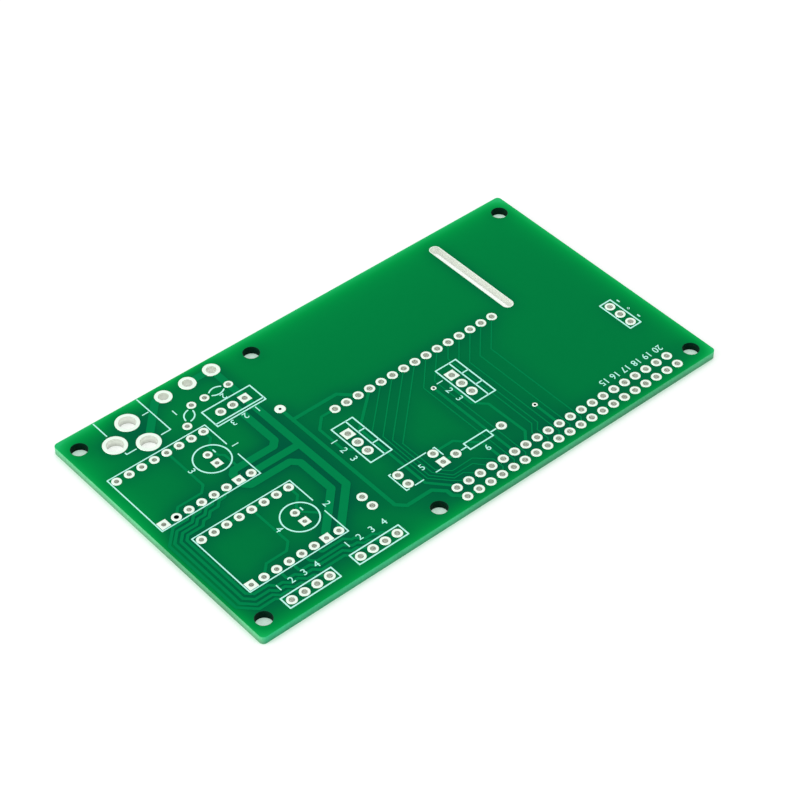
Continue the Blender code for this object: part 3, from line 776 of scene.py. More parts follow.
@dataclass(frozen=True)
class Laminate(Finish):
    """Cut edge of the glass laminate: translucent green, with a painted sheen that whitens the short edges.

    The stops are its colour from the underside up, by their share of the thickness: painted light, lighter at
    the very foot where the floor throws light back, darkest just above it and brightest under the top where
    light comes through the laminate.

    Attributes:
        frost: Painted sheen, white added to the faces that look left or right.
        drift: Share of the painted sheen that the long edges have at their left end and at their right end.
        bare: Colour of the faces that look up, round the holes, dark with the same painted shade as the mask
            beside them.
        specks: Specks of glass, beside the broader noise.
    """

    name: str = "laminate"
    color: Color = (0.058, 0.485, 0.22)
    stops: Stops = (
        (0.02, (0.09, 0.43, 0.21)),
        (0.15, (0.05, 0.36, 0.17)),
        (0.5, (0.058, 0.485, 0.22)),
        (0.82, (0.055, 0.60, 0.25)),
        (0.97, (0.03, 0.58, 0.22)),
    )
    mottle: Grain = Grain(450.0, 2.0, low=0.82, high=1.18)
    relief: Relief = Relief(Grain(4000.0), 0.00002, 0.5)
    gloss: float = 0.2
    frost: Color = (0.075, 0.0, 0.02)
    drift: tuple[float, float] = (-0.34, 0.4)
    bare: Color = (0.004, 0.12, 0.055)
    specks: Grain = Grain(2600.0, 3.0, 0.7, 0.7, 1.3)

    def paint(self, shader: Shader) -> Socket:
        """The colour of each point.

        Args:
            shader: The finish under construction.

        Returns:
            The colour.
        """
        height = shader.spread(shader.axis(shader.place(), "Z"), 0.0, 1.0, end=OUTLINE.thickness * MM)
        facing = shader.vector("ABSOLUTE", shader.place("Normal"))
        half = OUTLINE.length / 2 * MM
        along = shader.spread(shader.axis(shader.place(), "X"), *self.drift, -half, half)
        amount = shader.math("MULTIPLY_ADD", shader.axis(facing, "Y"), along, shader.axis(facing, "X"))
        # Painted sheen: whiter on faces that look sideways, and along the long edges by where they lie
        with_sheen = shader.vector("MULTIPLY_ADD", amount, self.frost, shader.ramp(height, self.stops))
        # Painted shade: the cut edges are dimmer where copper lies behind them
        light = shader.node("ShaderNodeAttribute", attribute_name="light")
        edge = shader.tint(with_sheen, light.outputs["Fac"])
        for grain in (self.mottle, self.specks):
            edge = shader.tint(edge, shader.cloud(grain))
        return shader.mix(shader.axis(facing, "Z"), edge, self.bare)


@dataclass(frozen=True)
class DrilledLaminate(PatchyFinish):
    """Wall of an unplated hole: near black with painted shade, with a brown cast."""

    name: str = "shaded_drilled_laminate"
    color: Color = (0.001, 0.030, 0.014)
    stops: Stops = ((0.5, (0.001, 0.030, 0.014)), (0.8, (0.010, 0.033, 0.015)))
    mottle: Grain = Grain(1500.0, 3.0, 0.6)
    relief: Relief = Relief(Grain(5000.0, 2.0), 0.00002, 0.6)
    gloss: float = 0.02


@dataclass(frozen=True)
class TinnedCopper(Finish):
    """Bright solder-levelled tin with a faint unevenness.

    Attributes:
        polish: Noise that its roughness follows.
    """

    name: str = "tinned_copper"
    color: Color = (0.87, 0.99, 0.89)
    mottle: Grain = Grain(900.0, low=0.95, high=1.04)
    relief: Relief = Relief(Grain(700.0, 2.0), 0.00002, 0.5)
    roughness: float = 0.4
    metallic: float = 1.0
    polish: Grain = Grain(1300.0, low=0.3, high=0.48)

    def paint(self, shader: Shader) -> Socket:
        """The colour of each point, beside its own roughness."""
        shader.link(shader.cloud(self.polish), shader.principled.inputs["Roughness"])
        return super().paint(shader)


@dataclass(frozen=True)
class PlatedWall(Finish):
    """Duller tin on the wall of a hole, darker towards its foot with painted shade.

    Attributes:
        foot: Share of its light at the underside.
        lit: Share of the thickness at which it has its full light.
    """

    name: str = "plated_wall"
    color: Color = (0.855, 0.9, 0.82)
    mottle: Grain = Grain(1500.0, low=0.9, high=1.08)
    relief: Relief = Relief(Grain(2500.0, 2.0), 0.00002, 0.3)
    roughness: float = 0.5
    metallic: float = 1.0
    foot: float = 0.62
    lit: float = 0.6

    def paint(self, shader: Shader) -> Socket:
        """The colour of each point.

        Args:
            shader: The finish under construction.

        Returns:
            The colour.
        """
        height = shader.axis(shader.place(), "Z")
        # Painted shade: darker towards the underside
        depth = shader.spread(height, self.foot, 1.0, end=OUTLINE.thickness * MM * self.lit)
        return shader.tint(self.color, shader.math("MULTIPLY", depth, shader.cloud(self.mottle)))


@dataclass(frozen=True)
class LegendInk(PatchyFinish):
    """White printing ink that the mask beneath tints green, a little thin in places."""

    name: str = "legend_ink"
    color: Color = (0.54, 1.0, 0.90)
    stops: Stops = ((0.35, (0.42, 0.93, 0.78)), (0.5, (0.54, 1.0, 0.90)))
    mottle: Grain = Grain(3000.0, 3.0, 0.6)
    gloss: float = 0.2


@dataclass(frozen=True)
class Finishes:
    """Every finish of the board.

    Attributes:
        mask: Of the coats over bare laminate.
        track: Of the coat over copper.
        laminate: Of the cut edges.
        drilled: Of dark walls, near black with painted shade.
        tin: Of flanges.
        wall: Of most plated walls.
        wide_wall: Of the terminal's and the slot's walls.
        ink: Of the legend.
    """

    mask: Material = field(default_factory=SolderMask().material)
    track: Material = field(default_factory=MaskedCopper().material)
    laminate: Material = field(default_factory=Laminate().material)
    drilled: Material = field(default_factory=DrilledLaminate().material)
    tin: Material = field(default_factory=TinnedCopper().material)
    wall: Material = field(default_factory=PlatedWall().material)
    wide_wall: Material = field(default_factory=PlatedWall("wide_wall", foot=0.84).material)
    ink: Material = field(default_factory=LegendInk().material)


# Bench work


def deselect() -> None:
    """Leaves nothing selected."""
    for item in bpy.context.selected_objects:
        item.select_set(False)


def take(obj: Object) -> Object:
    """Makes an object the only selected and active one.

    Args:
        obj: The object.

    Returns:
        The same object.
    """
    deselect()
    obj.select_set(True)
    bpy.context.view_layer.objects.active = obj
    return obj


def edit(obj: Object, kind: str = "VERT") -> None:
    """Opens an object in edit mode with nothing selected.

    Args:
        obj: The object.
        kind: VERT, EDGE or FACE.
    """
    take(obj)
    bpy.ops.object.mode_set(mode="EDIT")
    bpy.ops.mesh.select_mode(type=kind)
    bpy.ops.mesh.select_all(action="DESELECT")


def leave() -> None:
    """Closes edit mode."""
    bpy.ops.object.mode_set(mode="OBJECT")


def pick_all() -> None:
    """Selects the whole mesh in edit mode."""
    bpy.ops.mesh.select_all(action="SELECT")


def pick(kind: str, wanted: Callable[..., bool]) -> bool:
    """Selects some vertices or edges of the mesh in edit mode.

    Args:
        kind: verts or edges.
        wanted: Tells of each whether it is selected.

    Returns:
        Whether any is.
    """
    data = bpy.context.edit_object.data
    mesh = bmesh.from_edit_mesh(data)
    found = False
    for element in getattr(mesh, kind):
        chosen = wanted(element)
        element.select_set(chosen)
        found = found or chosen
    bmesh.update_edit_mesh(data)
    return found


def is_upright(edge: bmesh.types.BMEdge) -> bool:
    """Tells whether an edge stands upright."""
    return (edge.verts[0].co.xy - edge.verts[1].co.xy).length < SAME_PLACE


def extrude(x: float, y: float, z: float) -> None:
    """Extrudes the selection in edit mode by a way in millimetres."""
    bpy.ops.mesh.extrude_region_move(TRANSFORM_OT_translate={"value": (x * MM, y * MM, z * MM)})


def close_shell() -> None:
    """Turns every face of the mesh outwards and closes edit mode."""
    pick_all()
    bpy.ops.mesh.normals_make_consistent(inside=False)
    leave()


def added(name: str) -> Object:
    """Names the object that was just added.

    Args:
        name: Its name.

    Returns:
        The object.
    """
    obj = bpy.context.active_object
    obj.name = name
    obj.data.name = name
    return obj


def settle(obj: Object) -> Object:
    """Moves an object's place into its mesh, so that the object itself sits at the origin.

    Args:
        obj: The object.

    Returns:
        The same object.
    """
    take(obj)
    bpy.ops.object.transform_apply(location=True, rotation=True, scale=True)
    return obj


def clone(obj: Object, shift: Vector) -> Object:
    """Copies an object with its mesh.

    Args:
        obj: The object.
        shift: Where the copy's mesh is moved.

    Returns:
        The copy.
    """
    twin = obj.copy()
    twin.data = obj.data.copy()
    twin.data.transform(Matrix.Translation(shift))
    bpy.context.scene.collection.objects.link(twin)
    return twin


def join(name: str, pieces: Sequence[Object]) -> Object:
    """Makes several objects one.

    Args:
        name: The new name.
        pieces: The objects.

    Returns:
        The one object.
    """
    take(pieces[0])
    for piece in pieces[1:]:
        piece.select_set(True)
    if len(pieces) > 1:
        bpy.ops.object.join()
    return added(name)


def discard(obj: Object) -> None:
    """Removes a helper."""
    bpy.data.objects.remove(obj)


def cut(obj: Object, tool: Object, operation: str = "DIFFERENCE") -> None:
    """Cuts or joins by another object and applies the result.

    Args:
        obj: The piece.
        tool: The other object, which is kept.
        operation: DIFFERENCE, UNION or INTERSECT.
    """
    take(obj)
    boolean = obj.modifiers.new("cut", "BOOLEAN")
    boolean.operation = operation
    boolean.object = tool
    boolean.solver = "EXACT"
    bpy.ops.object.modifier_apply(modifier=boolean.name)


def finish_piece(
    obj: Object, materials: Sequence[Material], nodes: Sequence[str] = (), smooth: bool = True
) -> Object:
    """Dresses a finished piece and hangs it on the board's body.

    Args:
        obj: The piece.
        materials: Its materials; faces keep their indices.
        nodes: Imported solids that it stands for.
        smooth: Shades it smooth under the smooth angle.

    Returns:
        The piece.
    """
    settle(obj)
    if smooth:
        bpy.ops.object.shade_smooth_by_angle(angle=SMOOTH_ANGLE)
    obj.data.materials.clear()
    for material in materials:
        obj.data.materials.append(material)
    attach(obj, BODY)
    if nodes:
        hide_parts(*nodes)
    return obj


def line_holes(obj: Object, holes: Sequence[tuple[Vector, int]], level: float = 0.3) -> None:
    """Gives the walls of upright holes another material.

    Args:
        obj: The piece.
        holes: A point on the axis of each hole, with the material of the faces that look at it.
        level: How far a wall's normal may rise.
    """
    for face in obj.data.polygons:
        if abs(face.normal.z) < level:
            axis, index = min(holes, key=lambda hole: (hole[0].xy - face.center.xy).length)
            if face.normal.xy.dot(axis.xy - face.center.xy) > 0.0:
                face.material_index = index


# Shapes shared by several sub-assemblies


def ring_object(name: str, stations: Sequence[Point], sides: int) -> Object:
    """A closed ring round the origin, drawn outwards and back by extruding a circle.

    Args:
        name: The piece's name.
        stations: Radius and height of each circle of the section, in millimetres.
        sides: Sides of each circle.

    Returns:
        The ring.
    """
    radius, height = stations[0]
    bpy.ops.mesh.primitive_circle_add(vertices=sides, radius=radius * MM, location=(0.0, 0.0, height * MM))
    ring = settle(added(name))
    edit(ring)
    pick_all()
    for (last_radius, last_height), (next_radius, next_height) in zip(stations, stations[1:]):
        extrude(0.0, 0.0, next_height - last_height)
        share = next_radius / last_radius
        bpy.ops.transform.resize(value=(share, share, 1.0), center_override=(0.0, 0.0, 0.0))
    pick_all()
    bpy.ops.mesh.remove_doubles(threshold=SAME_PLACE)
    close_shell()
    return ring


def round_bar(name: str, place: Vector, radius: float, bottom: float, top: float, sides: int) -> Object:
    """An upright cylinder at a place of the row frame.

    Args:
        name: Its name.
        place: Its foot's x and y in metres.
        radius: In millimetres.
        bottom: Height of its foot in millimetres.
        top: Height of its head in millimetres.
        sides: Facets.

    Returns:
        The cylinder.
    """
    bpy.ops.mesh.primitive_cylinder_add(
        vertices=sides,
        radius=radius * MM,
        depth=(top - bottom) * MM,
        location=(place.x, place.y, (top + bottom) / 2 * MM),
    )
    return settle(added(name))


@dataclass(frozen=True)
class Line:
    """A flat line of even width with rounded ends and bends.

    Attributes:
        width: In millimetres.
        height: In millimetres.
        rounding: Segments of a rounded end or square corner.
        slant_rounding: Segments of a rounded slanted bend.
        square: Least and greatest turn of an end or a square corner, in degrees.
        slanted: Least and greatest turn of a slanted bend.
        fullness: Share of half the width that a rounding takes.
    """

    width: float
    height: float
    rounding: int = 4
    slant_rounding: int = 2
    square: tuple[float, float] = (70.0, 110.0)
    slanted: tuple[float, float] = (30.0, 70.0)
    fullness: float = 0.98

    def trace(self, path: Sequence[Point], closed: bool) -> None:
        """Adds one path to the mesh in edit mode, from a plane merged to a point.

        Args:
            path: Its corners in layout millimetres.
            closed: Joins the last corner to the first.
        """
        bpy.ops.mesh.select_all(action="DESELECT")
        start, end = (OUTLINE.place(*corner, OUTLINE.thickness) for corner in (path[0], path[-1]))
        bpy.ops.mesh.primitive_plane_add(size=self.width * MM, location=start)
        bpy.ops.mesh.merge(type="CENTER")
        for (last_x, last_y), (next_x, next_y) in zip(path, path[1:]):
            extrude(next_x - last_x, next_y - last_y, 0.0)
        if closed:
            pick("verts", lambda vert: min((vert.co - start).length, (vert.co - end).length) < SAME_PLACE)
            bpy.ops.mesh.edge_face_add()

    def round_corners(self, obj: Object) -> None:
        """Rounds the upright outer edges: ends and square corners fully, slanted bends by as much.

        Args:
            obj: The line.
        """
        for (low, high), segments in ((self.square, self.rounding), (self.slanted, self.slant_rounding)):
            edit(obj, "EDGE")
            found = pick(
                "edges",
                lambda edge: is_upright(edge)
                and edge.is_manifold
                and low < math.degrees(edge.calc_face_angle_signed()) < high,
            )
            if found:
                turn = math.radians((low + high) / 2)
                offset = self.fullness * self.width / 2 * math.tan(turn / 2) * MM
                bpy.ops.mesh.bevel(offset=offset, segments=segments, affect="EDGES", clamp_overlap=True)
            leave()

    def draw(self, name: str, lines: Sequence[Path], loops: Sequence[Path] = ()) -> Object:
        """Draws several paths as one piece.

        Args:
            name: The piece's name.
            lines: Corners of each open path, in layout millimetres.
            loops: Corners of each path that runs back to its start.

        Returns:
            The piece, standing on the board's face.
        """
        bpy.ops.mesh.primitive_plane_add(size=self.width * MM)
        line = added(name)
        edit(line)
        pick_all()
        bpy.ops.mesh.delete(type="VERT")
        for path in loops:
            self.trace(path, closed=True)
        for path in lines:
            self.trace(path, closed=False)
        pick_all()
        extrude(0.0, 0.0, self.height)
        close_shell()
        solidify = line.modifiers.new("width", "SOLIDIFY")
        solidify.thickness = self.width * MM
        solidify.offset = 0.0
        solidify.use_even_offset = True
        take(line)
        bpy.ops.object.modifier_apply(modifier=solidify.name)
        self.round_corners(line)
        return line


def start_trimmed(path: Path, pins: Sequence[Pin], halvings: int = 24) -> Path:
    """Starts a path under its pad, short of the hole.

    Args:
        path: A path that may start on a pad.
        pins: Every pin.
        halvings: Steps of the search for the new start.

    Returns:
        The path, shorter if it starts near a hole.
    """
    pin = next((pin for pin in pins if math.dist(path[0], pin.place) < pin.pad / 2), None)
    if pin is None:
        return path
    reach = (pin.hole + pin.pad) / 4
    if math.dist(path[0], pin.place) > reach:
        return path
    while len(path) > 2 and math.dist(path[1], pin.place) < reach:
        path = path[1:]
    inside, outside = Vector(path[0]), Vector(path[1])
    for _ in range(halvings):
        middle = (inside + outside) / 2
        if math.dist(middle, pin.place) < reach:
            inside = middle
        else:
            outside = middle
    return [(outside.x, outside.y), *path[1:]]


def trimmed(path: Path, pins: Sequence[Pin]) -> Path:
    """Trims both ends of a path."""
    return start_trimmed(start_trimmed(path[::-1], pins)[::-1], pins)


# The board


class Edge(Enum):
    """The sides of the board's outline."""

    LEFT = "left"
    RIGHT = "right"
    FRONT = "front"
    BACK = "back"


@dataclass(frozen=True)
class LightInLaminate:
    """How much light comes back through the mask at each place.

    Light that enters at the cut edges brightens the rim. Copper on either face, and the open mounting
    holes, take light out of the laminate round them.

    Attributes:
        cell: Size of a cell of the maps, in millimetres.
        margin: How far the maps run past the outline.
        near: Spread of the shade beside copper or a hole.
        far: Spread of the shade over a whole area of copper.
        far_share: Strength of the far shade against the near one.
        narrowest: Width that narrower lines shade as, since they lose light on both sides.
        base: Green of laminate that no copper is near.
        copper_shade: Green lost in the middle of closed copper.
        hole_shade: Green lost in the middle of a wide hole.
        rim_block: Share of an edge's light that closed copper holds back.
        rims: Brightness gained at an edge, and its reach in millimetres.
        full: Green at which the attribute is 1.
    """

    cell: float = 0.2
    margin: float = 30.0
    near: float = 1.6
    far: float = 13.0
    far_share: float = 0.5
    narrowest: float = 0.4
    base: float = 0.194
    copper_shade: float = 0.15
    hole_shade: float = 0.136
    rim_block: float = 1.2
    rims: tuple[tuple[Edge, float, float], ...] = (
        (Edge.LEFT, 0.156, 1.85),
        (Edge.RIGHT, 0.24, 1.45),
        (Edge.FRONT, 0.153, 1.5),
        (Edge.BACK, 0.27, 1.3),
        (Edge.BACK, 0.042, 14.0),
    )
    full: float = 0.5

    def grid(self) -> tuple[np.ndarray, np.ndarray]:
        """X and y of each cell.

        Returns:
            Both in layout millimetres.
        """
        columns = np.arange(OUTLINE.left - self.margin, OUTLINE.right + self.margin, self.cell)
        rows = np.arange(OUTLINE.front - self.margin, OUTLINE.back + self.margin, self.cell)
        return np.meshgrid(columns, rows)

    def copper_map(self, copper: Sequence[Copper], pins: Sequence[Pin]) -> np.ndarray:
        """Share of copper at each cell.

        Args:
            copper: The tracks.
            pins: The pads.

        Returns:
            Rows along the board's depth, columns along its length.
        """
        x, y = self.grid()
        covered = np.zeros_like(x, dtype=bool)
        for pin in pins:
            covered |= np.hypot(x - pin.x, y - pin.y) < pin.pad / 2
        for layer in copper:
            half = max(layer.width, self.narrowest) / 2
            for path in layer.paths:
                for (ax, ay), (bx, by) in zip(path, path[1:]):
                    length = (bx - ax) ** 2 + (by - ay) ** 2
                    along = np.clip(((x - ax) * (bx - ax) + (y - ay) * (by - ay)) / length, 0.0, 1.0)
                    covered |= np.hypot(x - ax - along * (bx - ax), y - ay - along * (by - ay)) < half
        return covered.astype(float)

    def hole_map(self) -> np.ndarray:
        """Share of mounting hole at each cell.

        Returns:
            Rows along the board's depth, columns along its length.
        """
        x, y = self.grid()
        open_cells = np.zeros_like(x, dtype=bool)
        for column in OUTLINE.mount_columns:
            for row in OUTLINE.mount_rows:
                open_cells |= np.hypot(x - column, y - row) < OUTLINE.mount_hole / 2
        return open_cells.astype(float)

    def spread(self, share: np.ndarray, reach: float) -> np.ndarray:
        """Scatters a map.

        Args:
            share: The map.
            reach: How far, in millimetres.

        Returns:
            The softer map.
        """
        rows, columns = share.shape
        waves = np.hypot(*np.meshgrid(np.fft.rfftfreq(columns, self.cell), np.fft.fftfreq(rows, self.cell)))
        return np.fft.irfft2(np.fft.rfft2(share) * np.exp(-2 * (math.pi * reach * waves) ** 2), share.shape)

    def shadows(self, copper: Sequence[Copper], pins: Sequence[Pin]) -> tuple[np.ndarray, np.ndarray]:
        """Shade at each cell.

        Args:
            copper: The tracks.
            pins: The pads.

        Returns:
            Green lost from the open field, and the share of light that an edge still sends here.
        """
        metal = self.copper_map(copper, pins)
        near, far = self.spread(metal, self.near), self.spread(metal, self.far)
        holes = self.spread(self.hole_map(), self.near)
        lost = self.copper_shade * (near + self.far_share * far) + self.hole_shade * holes
        return lost, 1 - self.rim_block * near

    @staticmethod
    def layout_of(obj: Object) -> tuple[np.ndarray, np.ndarray]:
        """Where the vertices of a piece lie in the layout.

        Args:
            obj: The piece.

        Returns:
            X and y of each vertex, in millimetres.
        """
        points = np.empty(len(obj.data.vertices) * 3)
        obj.data.vertices.foreach_get("co", points)
        points = points.reshape(-1, 3) / MM
        centre_x, centre_y = OUTLINE.centre
        return points[:, 0] + centre_x, points[:, 1] + centre_y

    def sample(self, values: np.ndarray, x: np.ndarray, y: np.ndarray) -> np.ndarray:
        """Reads a map.

        Args:
            values: The map.
            x: Layout x of each point.
            y: Layout y of each point.

        Returns:
            The map's value at each point.
        """
        column = np.rint((x - OUTLINE.left + self.margin) / self.cell).astype(int)
        row = np.rint((y - OUTLINE.front + self.margin) / self.cell).astype(int)
        return values[row, column]

    @staticmethod
    def write(obj: Object, light: np.ndarray) -> None:
        """Keeps the light of each vertex as the `light` attribute."""
        attribute = obj.data.attributes.new("light", "FLOAT", "POINT")
        attribute.data.foreach_set("value", np.clip(light, 0.0, 1.0).astype(np.float32))

    def light_coat(self, obj: Object, lost: np.ndarray, passed: np.ndarray) -> None:
        """Lights a coat of mask.

        Args:
            obj: The coat.
            lost: Green lost at each cell.
            passed: Share of an edge's light that reaches each cell.
        """
        x, y = self.layout_of(obj)
        light = self.base - self.sample(lost, x, y)
        passed_here = self.sample(passed, x, y)
        gaps = {
            Edge.LEFT: x - OUTLINE.left,
            Edge.RIGHT: OUTLINE.right - x,
            Edge.FRONT: y - OUTLINE.front,
            Edge.BACK: OUTLINE.back - y,
        }
        for edge, gain, reach in self.rims:
            light += gain * passed_here * np.exp(-np.maximum(gaps[edge], 0.0) / reach)
        self.write(obj, light / self.full)

    def light_edges(self, obj: Object, passed: np.ndarray) -> None:
        """Lights the laminate's cut edges, dimmer where copper lies behind them."""
        self.write(obj, self.sample(passed, *self.layout_of(obj)))


@dataclass(frozen=True)
class SlotLining:
    """Plated wall of the long slot, with a flange on each face.

    Attributes:
        rim: Width of the flange.
        trim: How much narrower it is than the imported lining, on the right.
        shade: Width of a copper line that takes as much light out of the laminate.
        height: Height of the flange over the board.
        wall: Thickness of the plating.
        round_sides: Facets of each round end.
    """

    rim: float = 0.16
    trim: float = 0.12
    shade: float = 1.5
    height: float = 0.05
    wall: float = 0.04
    round_sides: int = 16

    def corners(self) -> tuple[Vector, Vector]:
        """Lowest and highest corner of the flange."""
        low, high = (Vector(corner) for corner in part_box("slot_lining"))
        return low, high - Vector((self.trim * MM, 0.0, 0.0))

    def straight(self) -> float:
        """From the middle of one round end to the other's, in metres."""
        low, high = self.corners()
        return high.y - low.y - (high.x - low.x)

    def ends(self) -> tuple[Vector, Vector]:
        """Middles of the round ends.

        Returns:
            The front one and the back one, on the underside.
        """
        low, high = self.corners()
        middle, half = (low + high) / 2, self.straight() / 2
        return Vector((middle.x, middle.y - half, 0.0)), Vector((middle.x, middle.y + half, 0.0))

    def copper(self) -> Copper:
        """The copper line that shades as the lining does.

        Returns:
            One straight line along the slot.
        """
        low, high = (corner / MM for corner in self.corners())
        (shift_x, shift_y), middle = OUTLINE.centre, (low.x + high.x) / 2
        half = self.shade / 2
        path = [(middle + shift_x, low.y + half + shift_y), (middle + shift_x, high.y - half + shift_y)]
        return Copper(self.shade, (path,))

    def prism(self, name: str, grow: float, bottom: float, top: float) -> Object:
        """The slot's outline as an upright prism.

        Args:
            name: Its name.
            grow: How far it stands outside the flange, in millimetres.
            bottom: Height of its foot.
            top: Height of its head.

        Returns:
            The prism.
        """
        low, high = self.corners()
        front, _ = self.ends()
        radius = (high.x - low.x) / 2 / MM + grow
        prism = round_bar(name, front, radius, bottom, top, 2 * self.round_sides)
        edit(prism)
        pick("verts", lambda vert: vert.co.y > front.y + SAME_PLACE)
        bpy.ops.transform.translate(value=(0.0, self.straight(), 0.0))
        leave()
        return prism

    def build(self, finishes: Finishes) -> Object:
        """Joins both flanges and the barrel, and opens them.

        Args:
            finishes: Every finish.

        Returns:
            The lining.
        """
        top = OUTLINE.thickness
        lining = self.prism("slot_lining_fine", self.wall - self.rim, -self.height, top + self.height)
        for bottom in (-self.height, top):
            flange = self.prism("slot_flange", 0.0, bottom, bottom + self.height)
            cut(lining, flange, "UNION")
            discard(flange)
        opening = self.prism("slot_opening", -self.rim, *OUTLINE.cutter_span)
        cut(lining, opening)
        discard(opening)
        finish_piece(lining, [finishes.tin, finishes.wide_wall], ["slot_lining"])
        front, back = self.ends()
        line_holes(lining, [(axis, WALL) for axis in (front, (front + back) / 2, back)])
        return lining


@dataclass(frozen=True)
class Board:
    """Laminate with its two coats of mask, drilled and milled.

    Attributes:
        front_cell: Size of a face of the front coat.
        back_cell: Size of a face of the back coat and of the laminate.
        barrel_room: Radius that plating takes of a drilled hole.
        mask_room: How far the mask stands back from a mounting hole.
        corner_segments: Facets of a rounded corner.
        drill_sides: Facets of a drilled hole.
        mount_sides: Facets of a mounting hole.
    """

    front_cell: float = 0.55
    back_cell: float = 1.6
    barrel_room: float = 0.05
    mask_room: float = 0.05
    corner_segments: int = 6
    drill_sides: int = 24
    mount_sides: int = 64

    def blank(self) -> Object:
        """The outline with its rounded corners.

        Returns:
            A slab that runs past both faces.
        """
        bottom, top = OUTLINE.cutter_span
        size = Vector((OUTLINE.length, OUTLINE.depth, top - bottom)) * MM
        bpy.ops.mesh.primitive_cube_add(size=1.0, location=(0.0, 0.0, (bottom + top) / 2 * MM), scale=size)
        slab = settle(added("blank"))
        edit(slab, "EDGE")
        pick("edges", is_upright)
        bpy.ops.mesh.bevel(offset=OUTLINE.corner * MM, segments=self.corner_segments, affect="EDGES")
        leave()
        return slab

    def drills(self, pins: Sequence[Pin], mount_radius: float) -> Object:
        """Every hole as one cutter.

        Args:
            pins: The plated holes.
            mount_radius: Radius of a mounting hole in millimetres.

        Returns:
            The cutter.
        """
        slot_tool = SlotLining().prism("slot_bit", self.barrel_room - SlotLining.rim, *OUTLINE.cutter_span)
        bits: dict[float, Object] = {}
        tools = []
        for pin in pins:
            radius = pin.hole / 2 + self.barrel_room
            if radius not in bits:
                bits[radius] = round_bar("bit", Vector(), radius, *OUTLINE.cutter_span, self.drill_sides)
            tools.append(clone(bits[radius], OUTLINE.place(*pin.place)))
        bit = round_bar("mount_bit", Vector(), mount_radius, *OUTLINE.cutter_span, self.mount_sides)
        tools += [clone(bit, foot) for foot in OUTLINE.mounts]
        for spare in (bit, *bits.values()):
            discard(spare)
        return join("drills", [slot_tool, *tools])

    @staticmethod
    def layer(name: str, bottom: float, top: float, cell: float, blank: Object, drills: Object) -> Object:
        """One layer of the board on a grid.

        Args:
            name: The piece's name.
            bottom: Height of its underside.
            top: Height of its upper face.
            cell: Size of its faces.
            blank: The board's outline.
            drills: The cutter of its openings.

        Returns:
            The layer.
        """
        columns, rows = round(OUTLINE.length / cell), round(OUTLINE.depth / cell)
        place = (0.0, 0.0, bottom * MM)
        bpy.ops.mesh.primitive_grid_add(x_subdivisions=columns, y_subdivisions=rows, size=1.0, location=place)
        layer = added(name)
        layer.scale = (OUTLINE.length * MM, OUTLINE.depth * MM, 1.0)
        settle(layer)
        edit(layer)
        pick_all()
        extrude(0.0, 0.0, top - bottom)
        close_shell()
        cut(layer, blank, "INTERSECT")
        cut(layer, drills)
        return layer

    def build(self, pins: Sequence[Pin], finishes: Finishes) -> list[Object]:
        """Builds the laminate and both coats.

        Args:
            pins: The plated holes.
            finishes: Every finish.

        Returns:
            The laminate, the front coat and the back coat.
        """
        top, film = OUTLINE.thickness, OUTLINE.mask
        blank = self.blank()
        drills = self.drills(pins, OUTLINE.mount_hole / 2)
        laminate = self.layer("laminate", film, top - film, self.back_cell, blank, drills)
        discard(drills)
        finish_piece(laminate, [finishes.laminate, finishes.drilled], ["board"])
        line_holes(laminate, [(foot, WALL) for foot in OUTLINE.mounts])

        openings = self.drills(pins, OUTLINE.mount_hole / 2 + self.mask_room)
        front = self.layer("front_mask", top - film, top, self.front_cell, blank, openings)
        back = self.layer("back_mask", 0.0, film, self.back_cell, blank, openings)
        discard(blank)
        discard(openings)
        light = LightInLaminate()
        lost, passed = light.shadows([*TRACKS.values(), SlotLining().copper()], pins)
        light.light_edges(laminate, passed)
        for coat in (front, back):
            finish_piece(coat, [finishes.mask])
            light.light_coat(coat, lost, passed)
        return [laminate, front, back]


# Plated holes


